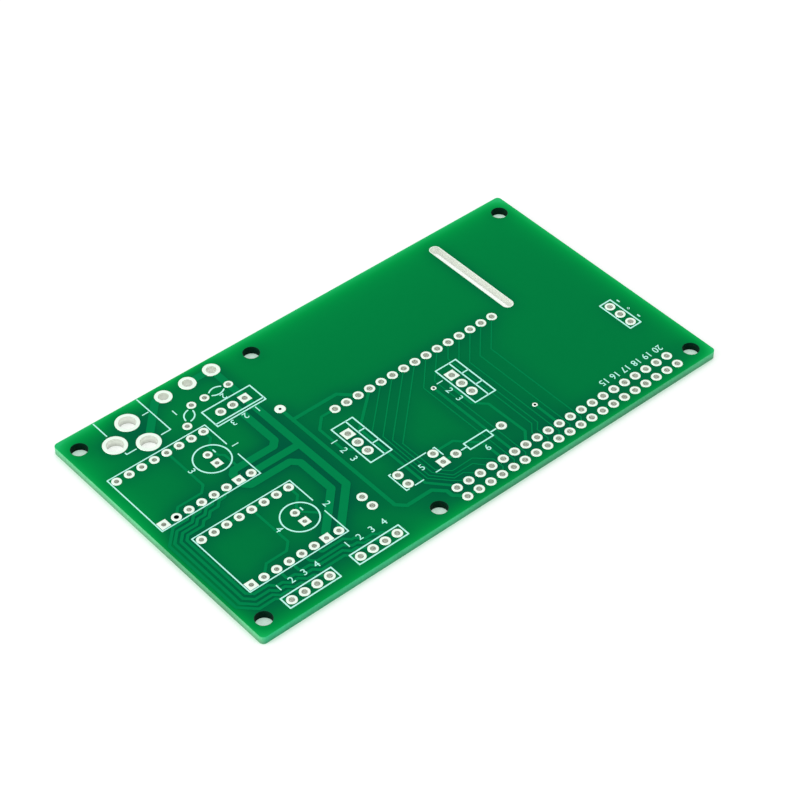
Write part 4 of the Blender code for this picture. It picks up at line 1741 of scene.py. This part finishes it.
@dataclass(frozen=True)
class PlatedHole:
    """A tinned barrel with a flange on each face.

    Attributes:
        pin: Its sizes.
        height: Height of a flange over the board.
        wall: Thickness of the plating.
        mouth: How far below the face the flange's inner lip begins.
        inner_lip: Steps away from the hole, each with its share of the flange's height.
        crown: Share of the flange's width at which it is highest.
        outer_lip: Steps in from the flange's outer edge, each with its share of the height.
        softness: Bevel of a square flange.
        soft_segments: Segments of that bevel.
        wide_pad: Pads over this width have the finer facets.
        facets: Facets round a narrow hole and round a wide one.
    """

    pin: Pin
    height: float = 0.05
    wall: float = 0.04
    mouth: float = 0.03
    inner_lip: tuple[Point, ...] = ((0.012, 0.6), (0.05, 0.9))
    crown: float = 0.4
    outer_lip: tuple[Point, ...] = ((0.08, 0.85), (0.02, 0.55), (0.0, 0.0))
    softness: float = 0.02
    soft_segments: int = 2
    wide_pad: float = 3.0
    facets: tuple[int, int] = (32, 48)

    @property
    def sides(self) -> int:
        """Facets round the hole."""
        narrow, wide = self.facets
        return wide if self.pin.pad > self.wide_pad else narrow

    def section(self) -> list[Point]:
        """Half section of a round one: a slightly domed flange with a soft lip, mirrored on the underside.

        Returns:
            Radius and height of each station, from the wall outwards and back to it.
        """
        hole, pad, top = self.pin.hole / 2, self.pin.pad / 2, OUTLINE.thickness
        upper = [(hole + inset, top + share * self.height) for inset, share in self.inner_lip]
        upper.append((hole + self.crown * (pad - hole), top + self.height))
        upper += [(pad - inset, top + share * self.height) for inset, share in self.outer_lip]
        lower = [(radius, top - height) for radius, height in reversed(upper)]
        start = (hole, top - self.mouth)
        barrel = [(hole + self.wall, top), (hole + self.wall, 0.0)]
        return [start, *upper, *barrel, *lower, (hole, self.mouth), start]

    def squared(self) -> Object:
        """A square one at the origin: plates on a barrel, drilled, with softened edges.

        Returns:
            The hole.
        """
        pin, top = self.pin, OUTLINE.thickness
        size = (pin.pad * MM, pin.pad * MM, self.height * MM)
        barrel = round_bar("eyelet", Vector(), pin.hole / 2 + self.wall, 0.0, top, self.sides)
        for middle in (top + self.height / 2, -self.height / 2):
            bpy.ops.mesh.primitive_cube_add(size=1.0, location=(0.0, 0.0, middle * MM), scale=size)
            plate = settle(added("plate"))
            edit(plate)
            pick_all()
            bpy.ops.mesh.bevel(offset=self.softness * MM, segments=self.soft_segments, affect="EDGES")
            leave()
            cut(barrel, plate, "UNION")
            discard(plate)
        drill = round_bar("drill", Vector(), pin.hole / 2, *OUTLINE.cutter_span, self.sides)
        cut(barrel, drill)
        discard(drill)
        return barrel

    def model(self) -> Object:
        """The hole at the origin."""
        return self.squared() if self.pin.square else ring_object("eyelet", self.section(), self.sides)


class HoleFace(IntEnum):
    """Materials of a plated hole, by their index."""

    FLANGE = 0
    DULL_WALL = 1
    # Near-black wall, painted shade in the hole
    DARK_WALL = 2
    EVEN_WALL = 3


@dataclass(frozen=True)
class Eyelets:
    """The plated holes of one component.

    Attributes:
        name: The piece's name.
        pins: Its holes.
    """

    name: str
    pins: Sequence[Pin]

    def nodes(self) -> list[str]:
        """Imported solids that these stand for."""
        part = self.name.removesuffix("_eyelets")
        return [f"{part}_eyelet_{number}" for number in range(1, EYELET_NODES.get(part, 0) + 1)]

    @staticmethod
    def wall(pin: Pin) -> HoleFace:
        """The material of a hole's wall.

        Args:
            pin: The hole.

        Returns:
            Even in the terminal, near black with painted shade in a few, dull in the rest.
        """
        if pin in PIN_GROUPS["terminal_eyelets"]:
            return HoleFace.EVEN_WALL
        return HoleFace.DARK_WALL if pin in PAINTED_SHADE_PINS else HoleFace.DULL_WALL

    def build(self, finishes: Finishes) -> Object:
        """Models each kind of hole once and copies it to its pins.

        Args:
            finishes: Every finish.

        Returns:
            The piece.
        """
        models: dict[tuple[float, float, bool], Object] = {}
        copies = []
        for pin in self.pins:
            kind = (pin.pad, pin.hole, pin.square)
            if kind not in models:
                models[kind] = PlatedHole(pin).model()
            copies.append(clone(models[kind], OUTLINE.place(*pin.place)))
        for model in models.values():
            discard(model)
        materials = [finishes.tin, finishes.wall, finishes.drilled, finishes.wide_wall]
        piece = finish_piece(join(self.name, copies), materials, self.nodes())
        line_holes(piece, [(OUTLINE.place(*pin.place), self.wall(pin)) for pin in self.pins])
        return piece


@dataclass(frozen=True)
class Tracks:
    """Copper lines of one net, under the mask.

    Attributes:
        name: The piece's name.
        copper: Its width, height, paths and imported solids.
    """

    name: str
    copper: Copper

    def build(self, pins: Sequence[Pin], finishes: Finishes) -> Object:
        """Draws the lines, ending under their pads.

        Args:
            pins: Every pin.
            finishes: Every finish.

        Returns:
            The piece.
        """
        paths = [trimmed(path, pins) for path in self.copper.paths]
        piece = Line(self.copper.width, self.copper.height).draw(self.name, paths)
        return finish_piece(piece, [finishes.track], self.copper.nodes, smooth=False)


# Legend


class Turn(Enum):
    """Which way printed numbers read."""

    ALONG = 0.0
    DOWN = -90.0
    OVER = 180.0


@dataclass(frozen=True)
class Number:
    """One printed number.

    Attributes:
        text: Its digits.
        middle: Middle of the digits in layout millimetres.
        turn: Which way they read.
    """

    text: str
    middle: Point
    turn: Turn = Turn.ALONG


def beside(
    group: str,
    order: slice,
    turn: Turn,
    x: float | None = None,
    y: float | None = None,
    first: int = 1,
) -> list[Number]:
    """Counts the pins of a group beside them.

    Args:
        group: The group's name.
        order: Which pins count, and in which order.
        turn: Which way the numbers read.
        x: Where they stand along the header; each at its pin if it isn't given.
        y: Where they stand towards the back edge; each at its pin if it isn't given.
        first: Number of the first pin.

    Returns:
        The numbers.
    """
    pins = PIN_GROUPS[group][order]
    places = [(pin.x if x is None else x, pin.y if y is None else y) for pin in pins]
    return [Number(str(count), place, turn) for count, place in enumerate(places, first)]


FORWARDS, BACKWARDS = slice(None), slice(None, None, -1)

NUMBERS: dict[str, list[Number]] = {
    "jack_number": [Number("1", (-28.0, 49.4), Turn.DOWN)],
    "disc_numbers": [Number("1", (-24.1, 46.3)), Number("2", (-15.4, 44.3), Turn.OVER)],
    "regulator_numbers": beside("regulator_eyelets", BACKWARDS, Turn.OVER, y=38.15),
    "upper_driver_number": [Number("1", (-21.15, 33.85), Turn.DOWN)],
    "lower_driver_number": [Number("2", (-18.35, 13.6), Turn.DOWN)],
    "upper_capacitor_number": [Number("3", (-30.3, 33.6), Turn.DOWN)],
    "lower_capacitor_number": [Number("4", (-27.76, 14.1), Turn.DOWN)],
    "left_transistor_numbers": beside("left_transistor_eyelets", BACKWARDS, Turn.DOWN, x=-8.4),
    "right_transistor_numbers": beside("right_transistor_eyelets", BACKWARDS, Turn.DOWN, x=14.3),
    "optocoupler_number": [Number("5", (-1.3, 9.7))],
    "resistor_number": [Number("6", (10.0, 6.05))],
    "left_motor_numbers": beside("left_motor_eyelets", FORWARDS, Turn.ALONG, y=4.4),
    "right_motor_numbers": beside("right_motor_eyelets", FORWARDS, Turn.ALONG, y=4.5),
    "header_numbers": beside("header_eyelets", slice(14, 20), Turn.OVER, y=4.9, first=15),
}


@dataclass(frozen=True)
class Legend:
    """White outlines and numbers.

    Attributes:
        finishes: Every finish.
        line: Width of a packed line.
        spread: Width of a line as it is printed.
        fine: Width of the drivers', the jack's and the optocoupler's lines as they are printed.
        height: Height of the ink over the board, between a track's and a pad's.
        notch: Width of the notch in a driver's side.
        ring_sides: Lines that a capacitor's ring is drawn with.
        transistor_tab: Width of a standing transistor's tab.
        transistor_bars: From one of its bars to the other.
        regulator_tab: Width of the regulator's tab.
        leads: Length of the resistor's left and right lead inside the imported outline.
        lead_reach: How far its leads run on towards their pads.
        optocoupler_shift: Added to its packed front, right and back line.
        optocoupler_notch: How far left of its middle the notch lies.
        pad_gaps: Half width of the openings round its front pads and round its other ones.
        square_gap: From its square pad to the line.
        disc_chord: Length of a disc capacitor's arcs.
        disc_narrow: From the middle to the ends of an arc, across the disc.
        disc_bulge: How far an arc stands out.
        arc_steps: Lines that an arc is drawn with.
        sign_shift: From a signal pin to the middle of its sign.
        minus: Half length of a minus.
        plus: Half length of a plus.
        digit_height: Height of a digit.
        digit_share: Height of a digit as a share of the type's size.
        digit_steps: Fineness of a digit's curves.
    """

    finishes: Finishes
    line: float = 0.2
    spread: float = 0.25
    fine: float = 0.215
    height: float = 0.045
    notch: float = 2.9
    ring_sides: int = 96
    transistor_tab: float = 1.54
    transistor_bars: float = 3.55
    regulator_tab: float = 0.6
    leads: tuple[float, float] = (1.1, 1.22)
    lead_reach: float = 0.25
    optocoupler_shift: tuple[float, float, float] = (-0.1, -0.08, -0.14)
    optocoupler_notch: float = 1.2
    pad_gaps: tuple[float, float] = (0.55, 0.7)
    square_gap: float = 0.25
    disc_chord: float = 2.68
    disc_narrow: float = 0.38
    disc_bulge: float = 0.52
    arc_steps: int = 10
    sign_shift: Point = (2.15, 0.16)
    minus: float = 0.36
    plus: float = 0.27
    digit_height: float = 1.4
    digit_share: float = 0.729
    digit_steps: int = 3

    def box(self, node: str) -> tuple[float, float, float, float]:
        """The centre line of a packed outline.

        Args:
            node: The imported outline.

        Returns:
            Its left, front, right and back, in layout millimetres.
        """
        low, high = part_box(node)
        centre_x, centre_y = OUTLINE.centre
        half = self.line / 2
        return (
            low[0] / MM + centre_x + half,
            low[1] / MM + centre_y + half,
            high[0] / MM + centre_x - half,
            high[1] / MM + centre_y - half,
        )

    @staticmethod
    def loop(left: float, front: float, right: float, back: float) -> Path:
        """Corners of a box."""
        return [(left, front), (right, front), (right, back), (left, back)]

    def ink(
        self,
        name: str,
        lines: Sequence[Path],
        loops: Sequence[Path] = (),
        nodes: Sequence[str] = (),
        width: float = spread,
    ) -> Object:
        """Draws and dresses one printed outline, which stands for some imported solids."""
        piece = Line(width, self.height).draw(f"{name}_ink", lines, loops)
        return finish_piece(piece, [self.finishes.ink], nodes, smooth=False)

    def rectangle(self, node: str) -> Object:
        """A closed box."""
        return self.ink(node, [], [self.loop(*self.box(node))], [node])

    def driver(self, node: str) -> Object:
        """A box open at the notch in its right side.

        Args:
            node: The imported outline.

        Returns:
            The piece.
        """
        left, front, right, back = self.box(node)
        middle = (front + back) / 2
        corners = [(right, back), (left, back), (left, front), (right, front)]
        path = [(right, middle + self.notch / 2), *corners, (right, middle - self.notch / 2)]
        return self.ink(node, [path], nodes=[node], width=self.fine)

    def capacitor(self, node: str) -> Object:
        """A ring with the bar of its minus side.

        Args:
            node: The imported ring.

        Returns:
            The piece.
        """
        left, front, right, back = self.box(node)
        x, y, radius = (left + right) / 2, (front + back) / 2, (right - left) / 2
        turns = [2 * math.pi * i / self.ring_sides for i in range(self.ring_sides)]
        ring = [(x + radius * math.cos(turn), y + radius * math.sin(turn)) for turn in turns]
        bar_left, bar_front, _, bar_back = self.box(f"{node}_bar")
        bar = [(bar_left, bar_front + self.line / 2), (bar_left, bar_back - self.line / 2)]
        return self.ink(node, [bar], [ring], [node, f"{node}_bar"])

    def standing_transistor(self, node: str) -> Object:
        """A box with its tab on the right, crossed by two bars.

        Args:
            node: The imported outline.

        Returns:
            The piece.
        """
        left, front, right, back = self.box(node)
        middle, tab = (front + back) / 2, right - self.transistor_tab
        lines = [[(tab, front), (tab, back)]]
        for side in (-1, 1):
            height = middle + side * self.transistor_bars / 2
            lines.append([(tab, height), (right, height)])
        return self.ink(node, lines, [self.loop(left, front, right, back)], [node])

    def regulator(self, node: str) -> Object:
        """A box with the line of its tab along the front.

        Args:
            node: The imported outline.

        Returns:
            The piece.
        """
        left, front, right, back = self.box(node)
        tab = front + self.regulator_tab
        return self.ink(node, [[(left, tab), (right, tab)]], [self.loop(left, front, right, back)], [node])

    def resistor(self, node: str) -> Object:
        """A box with a lead at each end, which reaches the pad.

        Args:
            node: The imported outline.

        Returns:
            The piece.
        """
        left, front, right, back = self.box(node)
        middle = (front + back) / 2
        near, far = left + self.leads[0], right - self.leads[1]
        lines = [
            [(left - self.lead_reach, middle), (near, middle)],
            [(far, middle), (right + self.lead_reach, middle)],
        ]
        return self.ink(node, lines, [self.loop(near, front, far, back)], [node])

    def jack(self) -> Object:
        """Three lines round the jack, open at its pins and at the board's edge.

        Returns:
            The piece.
        """
        nodes = ["jack_outline_back_left", "jack_outline_left", "jack_outline_right"]
        rear, left, right = (self.box(node) for node in nodes)
        lines = [
            [(rear[0], rear[1]), (rear[0], rear[3])],
            [(left[0], left[3]), (left[0], left[1]), (left[2], left[1])],
            [(right[0], right[1]), (right[2], right[1]), (right[2], right[3])],
        ]
        return self.ink("jack_outline", lines, nodes=nodes, width=self.fine)

    def optocoupler(self) -> Object:
        """A box open at its pads and at its notch.

        Returns:
            The piece.
        """
        nodes = ["optocoupler_outline", "optocoupler_outline_front"]
        (left, front, right, back), (start, _, end, _) = (self.box(node) for node in nodes)
        notch = (left + right + self.optocoupler_shift[1]) / 2 - self.optocoupler_notch
        front, right, back = (
            side + shift for side, shift in zip((front, right, back), self.optocoupler_shift)
        )
        square, right_pad, low_pad, high_pad = PIN_GROUPS["optocoupler_eyelets"]
        low_gap, high_gap = self.pad_gaps
        right_end = square.y + square.pad / 2 + self.square_gap
        lines = [
            [(high_pad.x - high_gap, back), (left, back), (left, front), (low_pad.x - low_gap, front)],
            [(low_pad.x + low_gap, front), (notch, front)],
            [(high_pad.x + high_gap, back), (right_pad.x - high_gap, back)],
            [(right_pad.x + high_gap, back), (right, back), (right, right_end)],
            [(start, front), (end, front)],
        ]
        return self.ink("optocoupler_outline", lines, nodes=nodes, width=self.fine)

    def arc(self, start: Vector, end: Vector, bulge: float) -> Path:
        """A shallow arc.

        Args:
            start: One end.
            end: The other end.
            bulge: How far its middle stands to the right of the way from start to end.

        Returns:
            Its points.
        """
        way = (end - start).normalized()
        right = Vector((way.y, -way.x))
        path = []
        for step in range(self.arc_steps + 1):
            share = step / self.arc_steps
            place = start.lerp(end, share) + right * (bulge * 4 * share * (1 - share))
            path.append((place.x, place.y))
        return path

    def disc(self, node: str, pins: Sequence[Pin]) -> Object:
        """Two arcs on either side of a disc capacitor's leads.

        Args:
            node: Name that both packed arcs start with.
            pins: The two leads.

        Returns:
            The piece.
        """
        one, other = (Vector(pin.place) for pin in pins)
        middle, along = (one + other) / 2, (other - one).normalized()
        half, side = along * self.disc_chord / 2, Vector((along.y, -along.x)) * self.disc_narrow
        lines = [
            self.arc(middle - half + side * sign, middle + half + side * sign, self.disc_bulge * sign)
            for sign in (-1, 1)
        ]
        return self.ink(node, lines, nodes=[f"{node}_1", f"{node}_2"])

    def signs(self) -> Object:
        """Minus, plus and minus beside the signal header.

        Returns:
            The piece.
        """
        pins = PIN_GROUPS["signal_eyelets"]
        shift_x, shift_y = self.sign_shift
        x, heights = pins[0].x + shift_x, [pin.y + shift_y for pin in pins]
        halves = (self.minus, self.plus, self.minus)
        lines = [[(x, height - half), (x, height + half)] for height, half in zip(heights, halves)]
        lines.append([(x - self.plus, heights[1]), (x + self.plus, heights[1])])
        return self.ink("signal_signs", lines)

    def number(self, number: Number) -> Object:
        """One number as a mesh.

        Args:
            number: The number.

        Returns:
            Its mesh, on the board.
        """
        place = OUTLINE.place(*number.middle, OUTLINE.thickness + self.height / 2)
        bpy.ops.object.text_add(location=place, rotation=(0.0, 0.0, math.radians(number.turn.value)))
        piece = bpy.context.active_object
        text = piece.data
        text.body = number.text
        text.size = self.digit_height / self.digit_share * MM
        text.align_x, text.align_y = "CENTER", "CENTER"
        text.extrude = self.height / 2 * MM
        text.resolution_u = self.digit_steps
        take(piece)
        bpy.ops.object.convert(target="MESH")
        settle(piece)
        edit(piece)
        pick_all()
        bpy.ops.mesh.remove_doubles(threshold=SAME_PLACE)
        leave()
        return piece

    def numbers(self, name: str, members: Sequence[Number]) -> Object:
        """One group of numbers as a piece."""
        piece = join(name, [self.number(member) for member in members])
        return finish_piece(piece, [self.finishes.ink], smooth=False)

    def build(self) -> list[Object]:
        """Prints everything.

        Returns:
            The pieces.
        """
        discs = PIN_GROUPS["disc_eyelets"]
        return [
            self.rectangle("left_motor_outline"),
            self.rectangle("right_motor_outline"),
            self.rectangle("signal_outline"),
            self.driver("upper_driver_outline"),
            self.driver("lower_driver_outline"),
            self.capacitor("upper_capacitor_outline"),
            self.capacitor("lower_capacitor_outline"),
            self.standing_transistor("left_transistor_outline"),
            self.standing_transistor("right_transistor_outline"),
            self.regulator("regulator_outline"),
            self.resistor("resistor_outline"),
            self.jack(),
            self.optocoupler(),
            self.disc("tilted_disc_outline", discs[:2]),
            self.disc("level_disc_outline", discs[2:]),
            self.signs(),
            *(self.numbers(name, members) for name, members in NUMBERS.items()),
        ]


# Studio


@dataclass(frozen=True)
class Studio:
    """Pale floor, soft light and the camera.

    Attributes:
        ambient: Strength of the even light.
        key: Strength of the soft light from the left.
        key_place: Its place in metres.
        key_turn: Its direction, as a rotation in degrees.
        key_angle: How wide it is, in degrees.
        eye: The camera's place, in millimetres.
        eye_turn: Its rotation in degrees.
        lens: Its focal length in millimetres.
        sensor: Width of its sensor in millimetres.
        clip_start: Where its view begins, in metres.
        floor_size: Side of the floor in metres.
        floor_gray: The floor's colour where it is seen.
        floor_bounce: Its colour where it only throws light back.
        floor_roughness: Its roughness.
        glow_reach: How far off the board still encloses a point of the floor, in millimetres.
        glow: The floor's own glow from enclosed to open, painting shade and green light beside the board.
        glow_strength: Strength of that glow.
        plated_clear: How open the floor counts under a plated hole, where it gets painted light.
        plated_gain: Added strength there, more painted light.
        plated_margin: How far inside the board's edges that ends, in millimetres.
    """

    ambient: float = 0.84
    key: float = 1.5
    key_place: tuple[float, float, float] = (-0.3, 0.0, 0.3)
    key_turn: tuple[float, float, float] = (0.0, -70.0, -15.0)
    key_angle: float = 60.0
    eye: tuple[float, float, float] = (-194.550, -225.335, 284.854)
    eye_turn: tuple[float, float, float] = (46.3519, -0.1427, -40.9525)
    lens: float = 109.870
    sensor: float = 36.0
    clip_start: float = 0.01
    floor_size: float = 4.0
    floor_gray: Color = (0.6, 0.6, 0.6)
    floor_bounce: Color = (0.8, 0.8, 0.8)
    floor_roughness: float = 0.9
    glow_reach: float = 2.5
    glow: Stops = (
        (0.2, (0.05, 0.25, 0.15)),
        (0.44, (0.62, 0.96, 0.77)),
        (0.58, (0.42, 0.64, 0.50)),
        (0.7, (0.86, 0.90, 0.87)),
        (0.85, (0.9, 0.9, 0.9)),
    )
    glow_strength: float = 0.55
    plated_clear: float = 0.7
    plated_gain: float = 0.05
    plated_margin: float = 0.4

    @staticmethod
    def show(nodes: Nodes, unseen: Socket, seen: Socket, output: str) -> None:
        """Shows one shader to the camera and in mirror images, and another to all other light.

        Args:
            nodes: The tree.
            unseen: The shader for other light.
            seen: The shader that is looked at.
            output: Name of the tree's output node.
        """
        path = nodes.node("ShaderNodeLightPath").outputs
        mirrored = nodes.math("MAXIMUM", path["Is Glossy Ray"], path["Is Transmission Ray"])
        looked_at = nodes.math("MAXIMUM", path["Is Camera Ray"], mirrored)
        mix = nodes.node("ShaderNodeMixShader")
        for source, target in zip((looked_at, unseen, seen), mix.inputs):
            nodes.link(source, target)
        nodes.link(mix.outputs["Shader"], nodes.tree.nodes[output].inputs["Surface"])

    def under_plating(self, shader: Shader) -> Socket:
        """Finds the floor under the board, except near its mounting holes, whose walls let light through.

        Args:
            shader: The floor's finish.

        Returns:
            1 there and 0 elsewhere.
        """
        place = shader.place()
        away: Socket | float = 1.0
        for mount in OUTLINE.mounts:
            gap = shader.vector("DISTANCE", place, mount, output="Value")
            away = shader.math("MINIMUM", gap, away)
        inside = shader.math("GREATER_THAN", away, OUTLINE.mount_hole * MM)
        for axis, length in (("X", OUTLINE.length), ("Y", OUTLINE.depth)):
            off_middle = shader.math("ABSOLUTE", shader.axis(place, axis))
            within = shader.math("LESS_THAN", off_middle, (length / 2 - self.plated_margin) * MM)
            inside = shader.math("MULTIPLY", inside, within)
        return inside

    def glowing(self, shader: Shader) -> Socket:
        """The floor's own glow: painted shade and painted green light where the board encloses the floor, and
        painted light under the plated holes.

        Args:
            shader: The floor's finish.

        Returns:
            The glow.
        """
        enclosure = shader.node("ShaderNodeAmbientOcclusion")
        enclosure.inputs["Distance"].default_value = self.glow_reach * MM
        plated = self.under_plating(shader)
        mirrored = shader.node("ShaderNodeLightPath").outputs["Is Glossy Ray"]
        clear = shader.math("MAXIMUM", mirrored, shader.math("MULTIPLY", plated, self.plated_clear))
        # Painted shade and painted green light where the board encloses the floor, painted light under plated
        # holes
        glow = shader.ramp(shader.math("MAXIMUM", enclosure.outputs["AO"], clear), self.glow)
        strength = shader.math("MULTIPLY_ADD", plated, self.plated_gain, self.glow_strength)
        emission = shader.node("ShaderNodeEmission")
        shader.link(strength, emission.inputs["Strength"])
        shader.link(glow, emission.inputs["Color"])
        return emission.outputs["Emission"]

    def floor(self) -> None:
        """Lays a white floor that keeps a faint shadow, with painted shade and green light beside the board.
        """
        bpy.ops.mesh.primitive_plane_add(size=self.floor_size)
        floor = added("floor")
        shader = start_shader("studio_white", self.floor_gray, self.floor_roughness, specular=0.0)
        lit = shader.node("ShaderNodeAddShader")
        shader.link(shader.principled.outputs["BSDF"], lit.inputs[0])
        shader.link(self.glowing(shader), lit.inputs[1])
        plain = shader.node("ShaderNodeBsdfDiffuse")
        plain.inputs["Color"].default_value = (*self.floor_bounce, 1.0)
        self.show(shader, plain.outputs["BSDF"], lit.outputs["Shader"], "Material Output")
        floor.data.materials.append(shader.material)

    def world(self) -> None:
        """Sets even light from all round, white where it is seen."""
        world = bpy.data.worlds.new("studio")
        world.use_nodes = True
        bpy.context.scene.world = world
        nodes = Nodes(world.node_tree)
        skies = (nodes.tree.nodes["Background"], nodes.node("ShaderNodeBackground"))
        for sky, strength in zip(skies, (self.ambient, 1.0)):
            sky.inputs["Color"].default_value = (1.0, 1.0, 1.0, 1.0)
            sky.inputs["Strength"].default_value = strength
        light, backdrop = (sky.outputs["Background"] for sky in skies)
        self.show(nodes, light, backdrop, "World Output")

    def key_light(self) -> None:
        """Adds a wide soft light from the left."""
        turn = tuple(math.radians(angle) for angle in self.key_turn)
        bpy.ops.object.light_add(type="SUN", location=self.key_place, rotation=turn)
        lamp = bpy.context.active_object
        lamp.name = "key_light"
        lamp.data.energy = self.key
        lamp.data.angle = math.radians(self.key_angle)

    def camera(self) -> None:
        """Puts the camera at its place."""
        place = tuple(value * MM for value in self.eye)
        turn = tuple(math.radians(angle) for angle in self.eye_turn)
        bpy.ops.object.camera_add(location=place, rotation=turn)
        camera = bpy.context.active_object
        camera.data.lens = self.lens
        camera.data.sensor_width = self.sensor
        camera.data.clip_start = self.clip_start
        bpy.context.scene.camera = camera

    def build(self) -> None:
        """Sets up the studio."""
        bpy.context.scene.view_settings.view_transform = "Standard"
        self.world()
        self.floor()
        self.key_light()
        self.camera()


def main() -> None:
    """Builds the board and the studio in order, and reports each piece."""
    logging.basicConfig(level=logging.INFO, format="%(name)s: %(message)s")
    finishes = Finishes()
    pins = [pin for group in PIN_GROUPS.values() for pin in group]
    pieces = Board().build(pins, finishes)
    pieces.append(SlotLining().build(finishes))
    pieces += [Eyelets(name, group).build(finishes) for name, group in PIN_GROUPS.items()]
    pieces += [Tracks(name, copper).build(pins, finishes) for name, copper in TRACKS.items()]
    pieces += Legend(finishes).build()
    for piece in pieces:
        LOG.info("%s: %d faces", piece.name, len(piece.data.polygons))
    Studio().build()


if __name__ == "__main__":
    main()
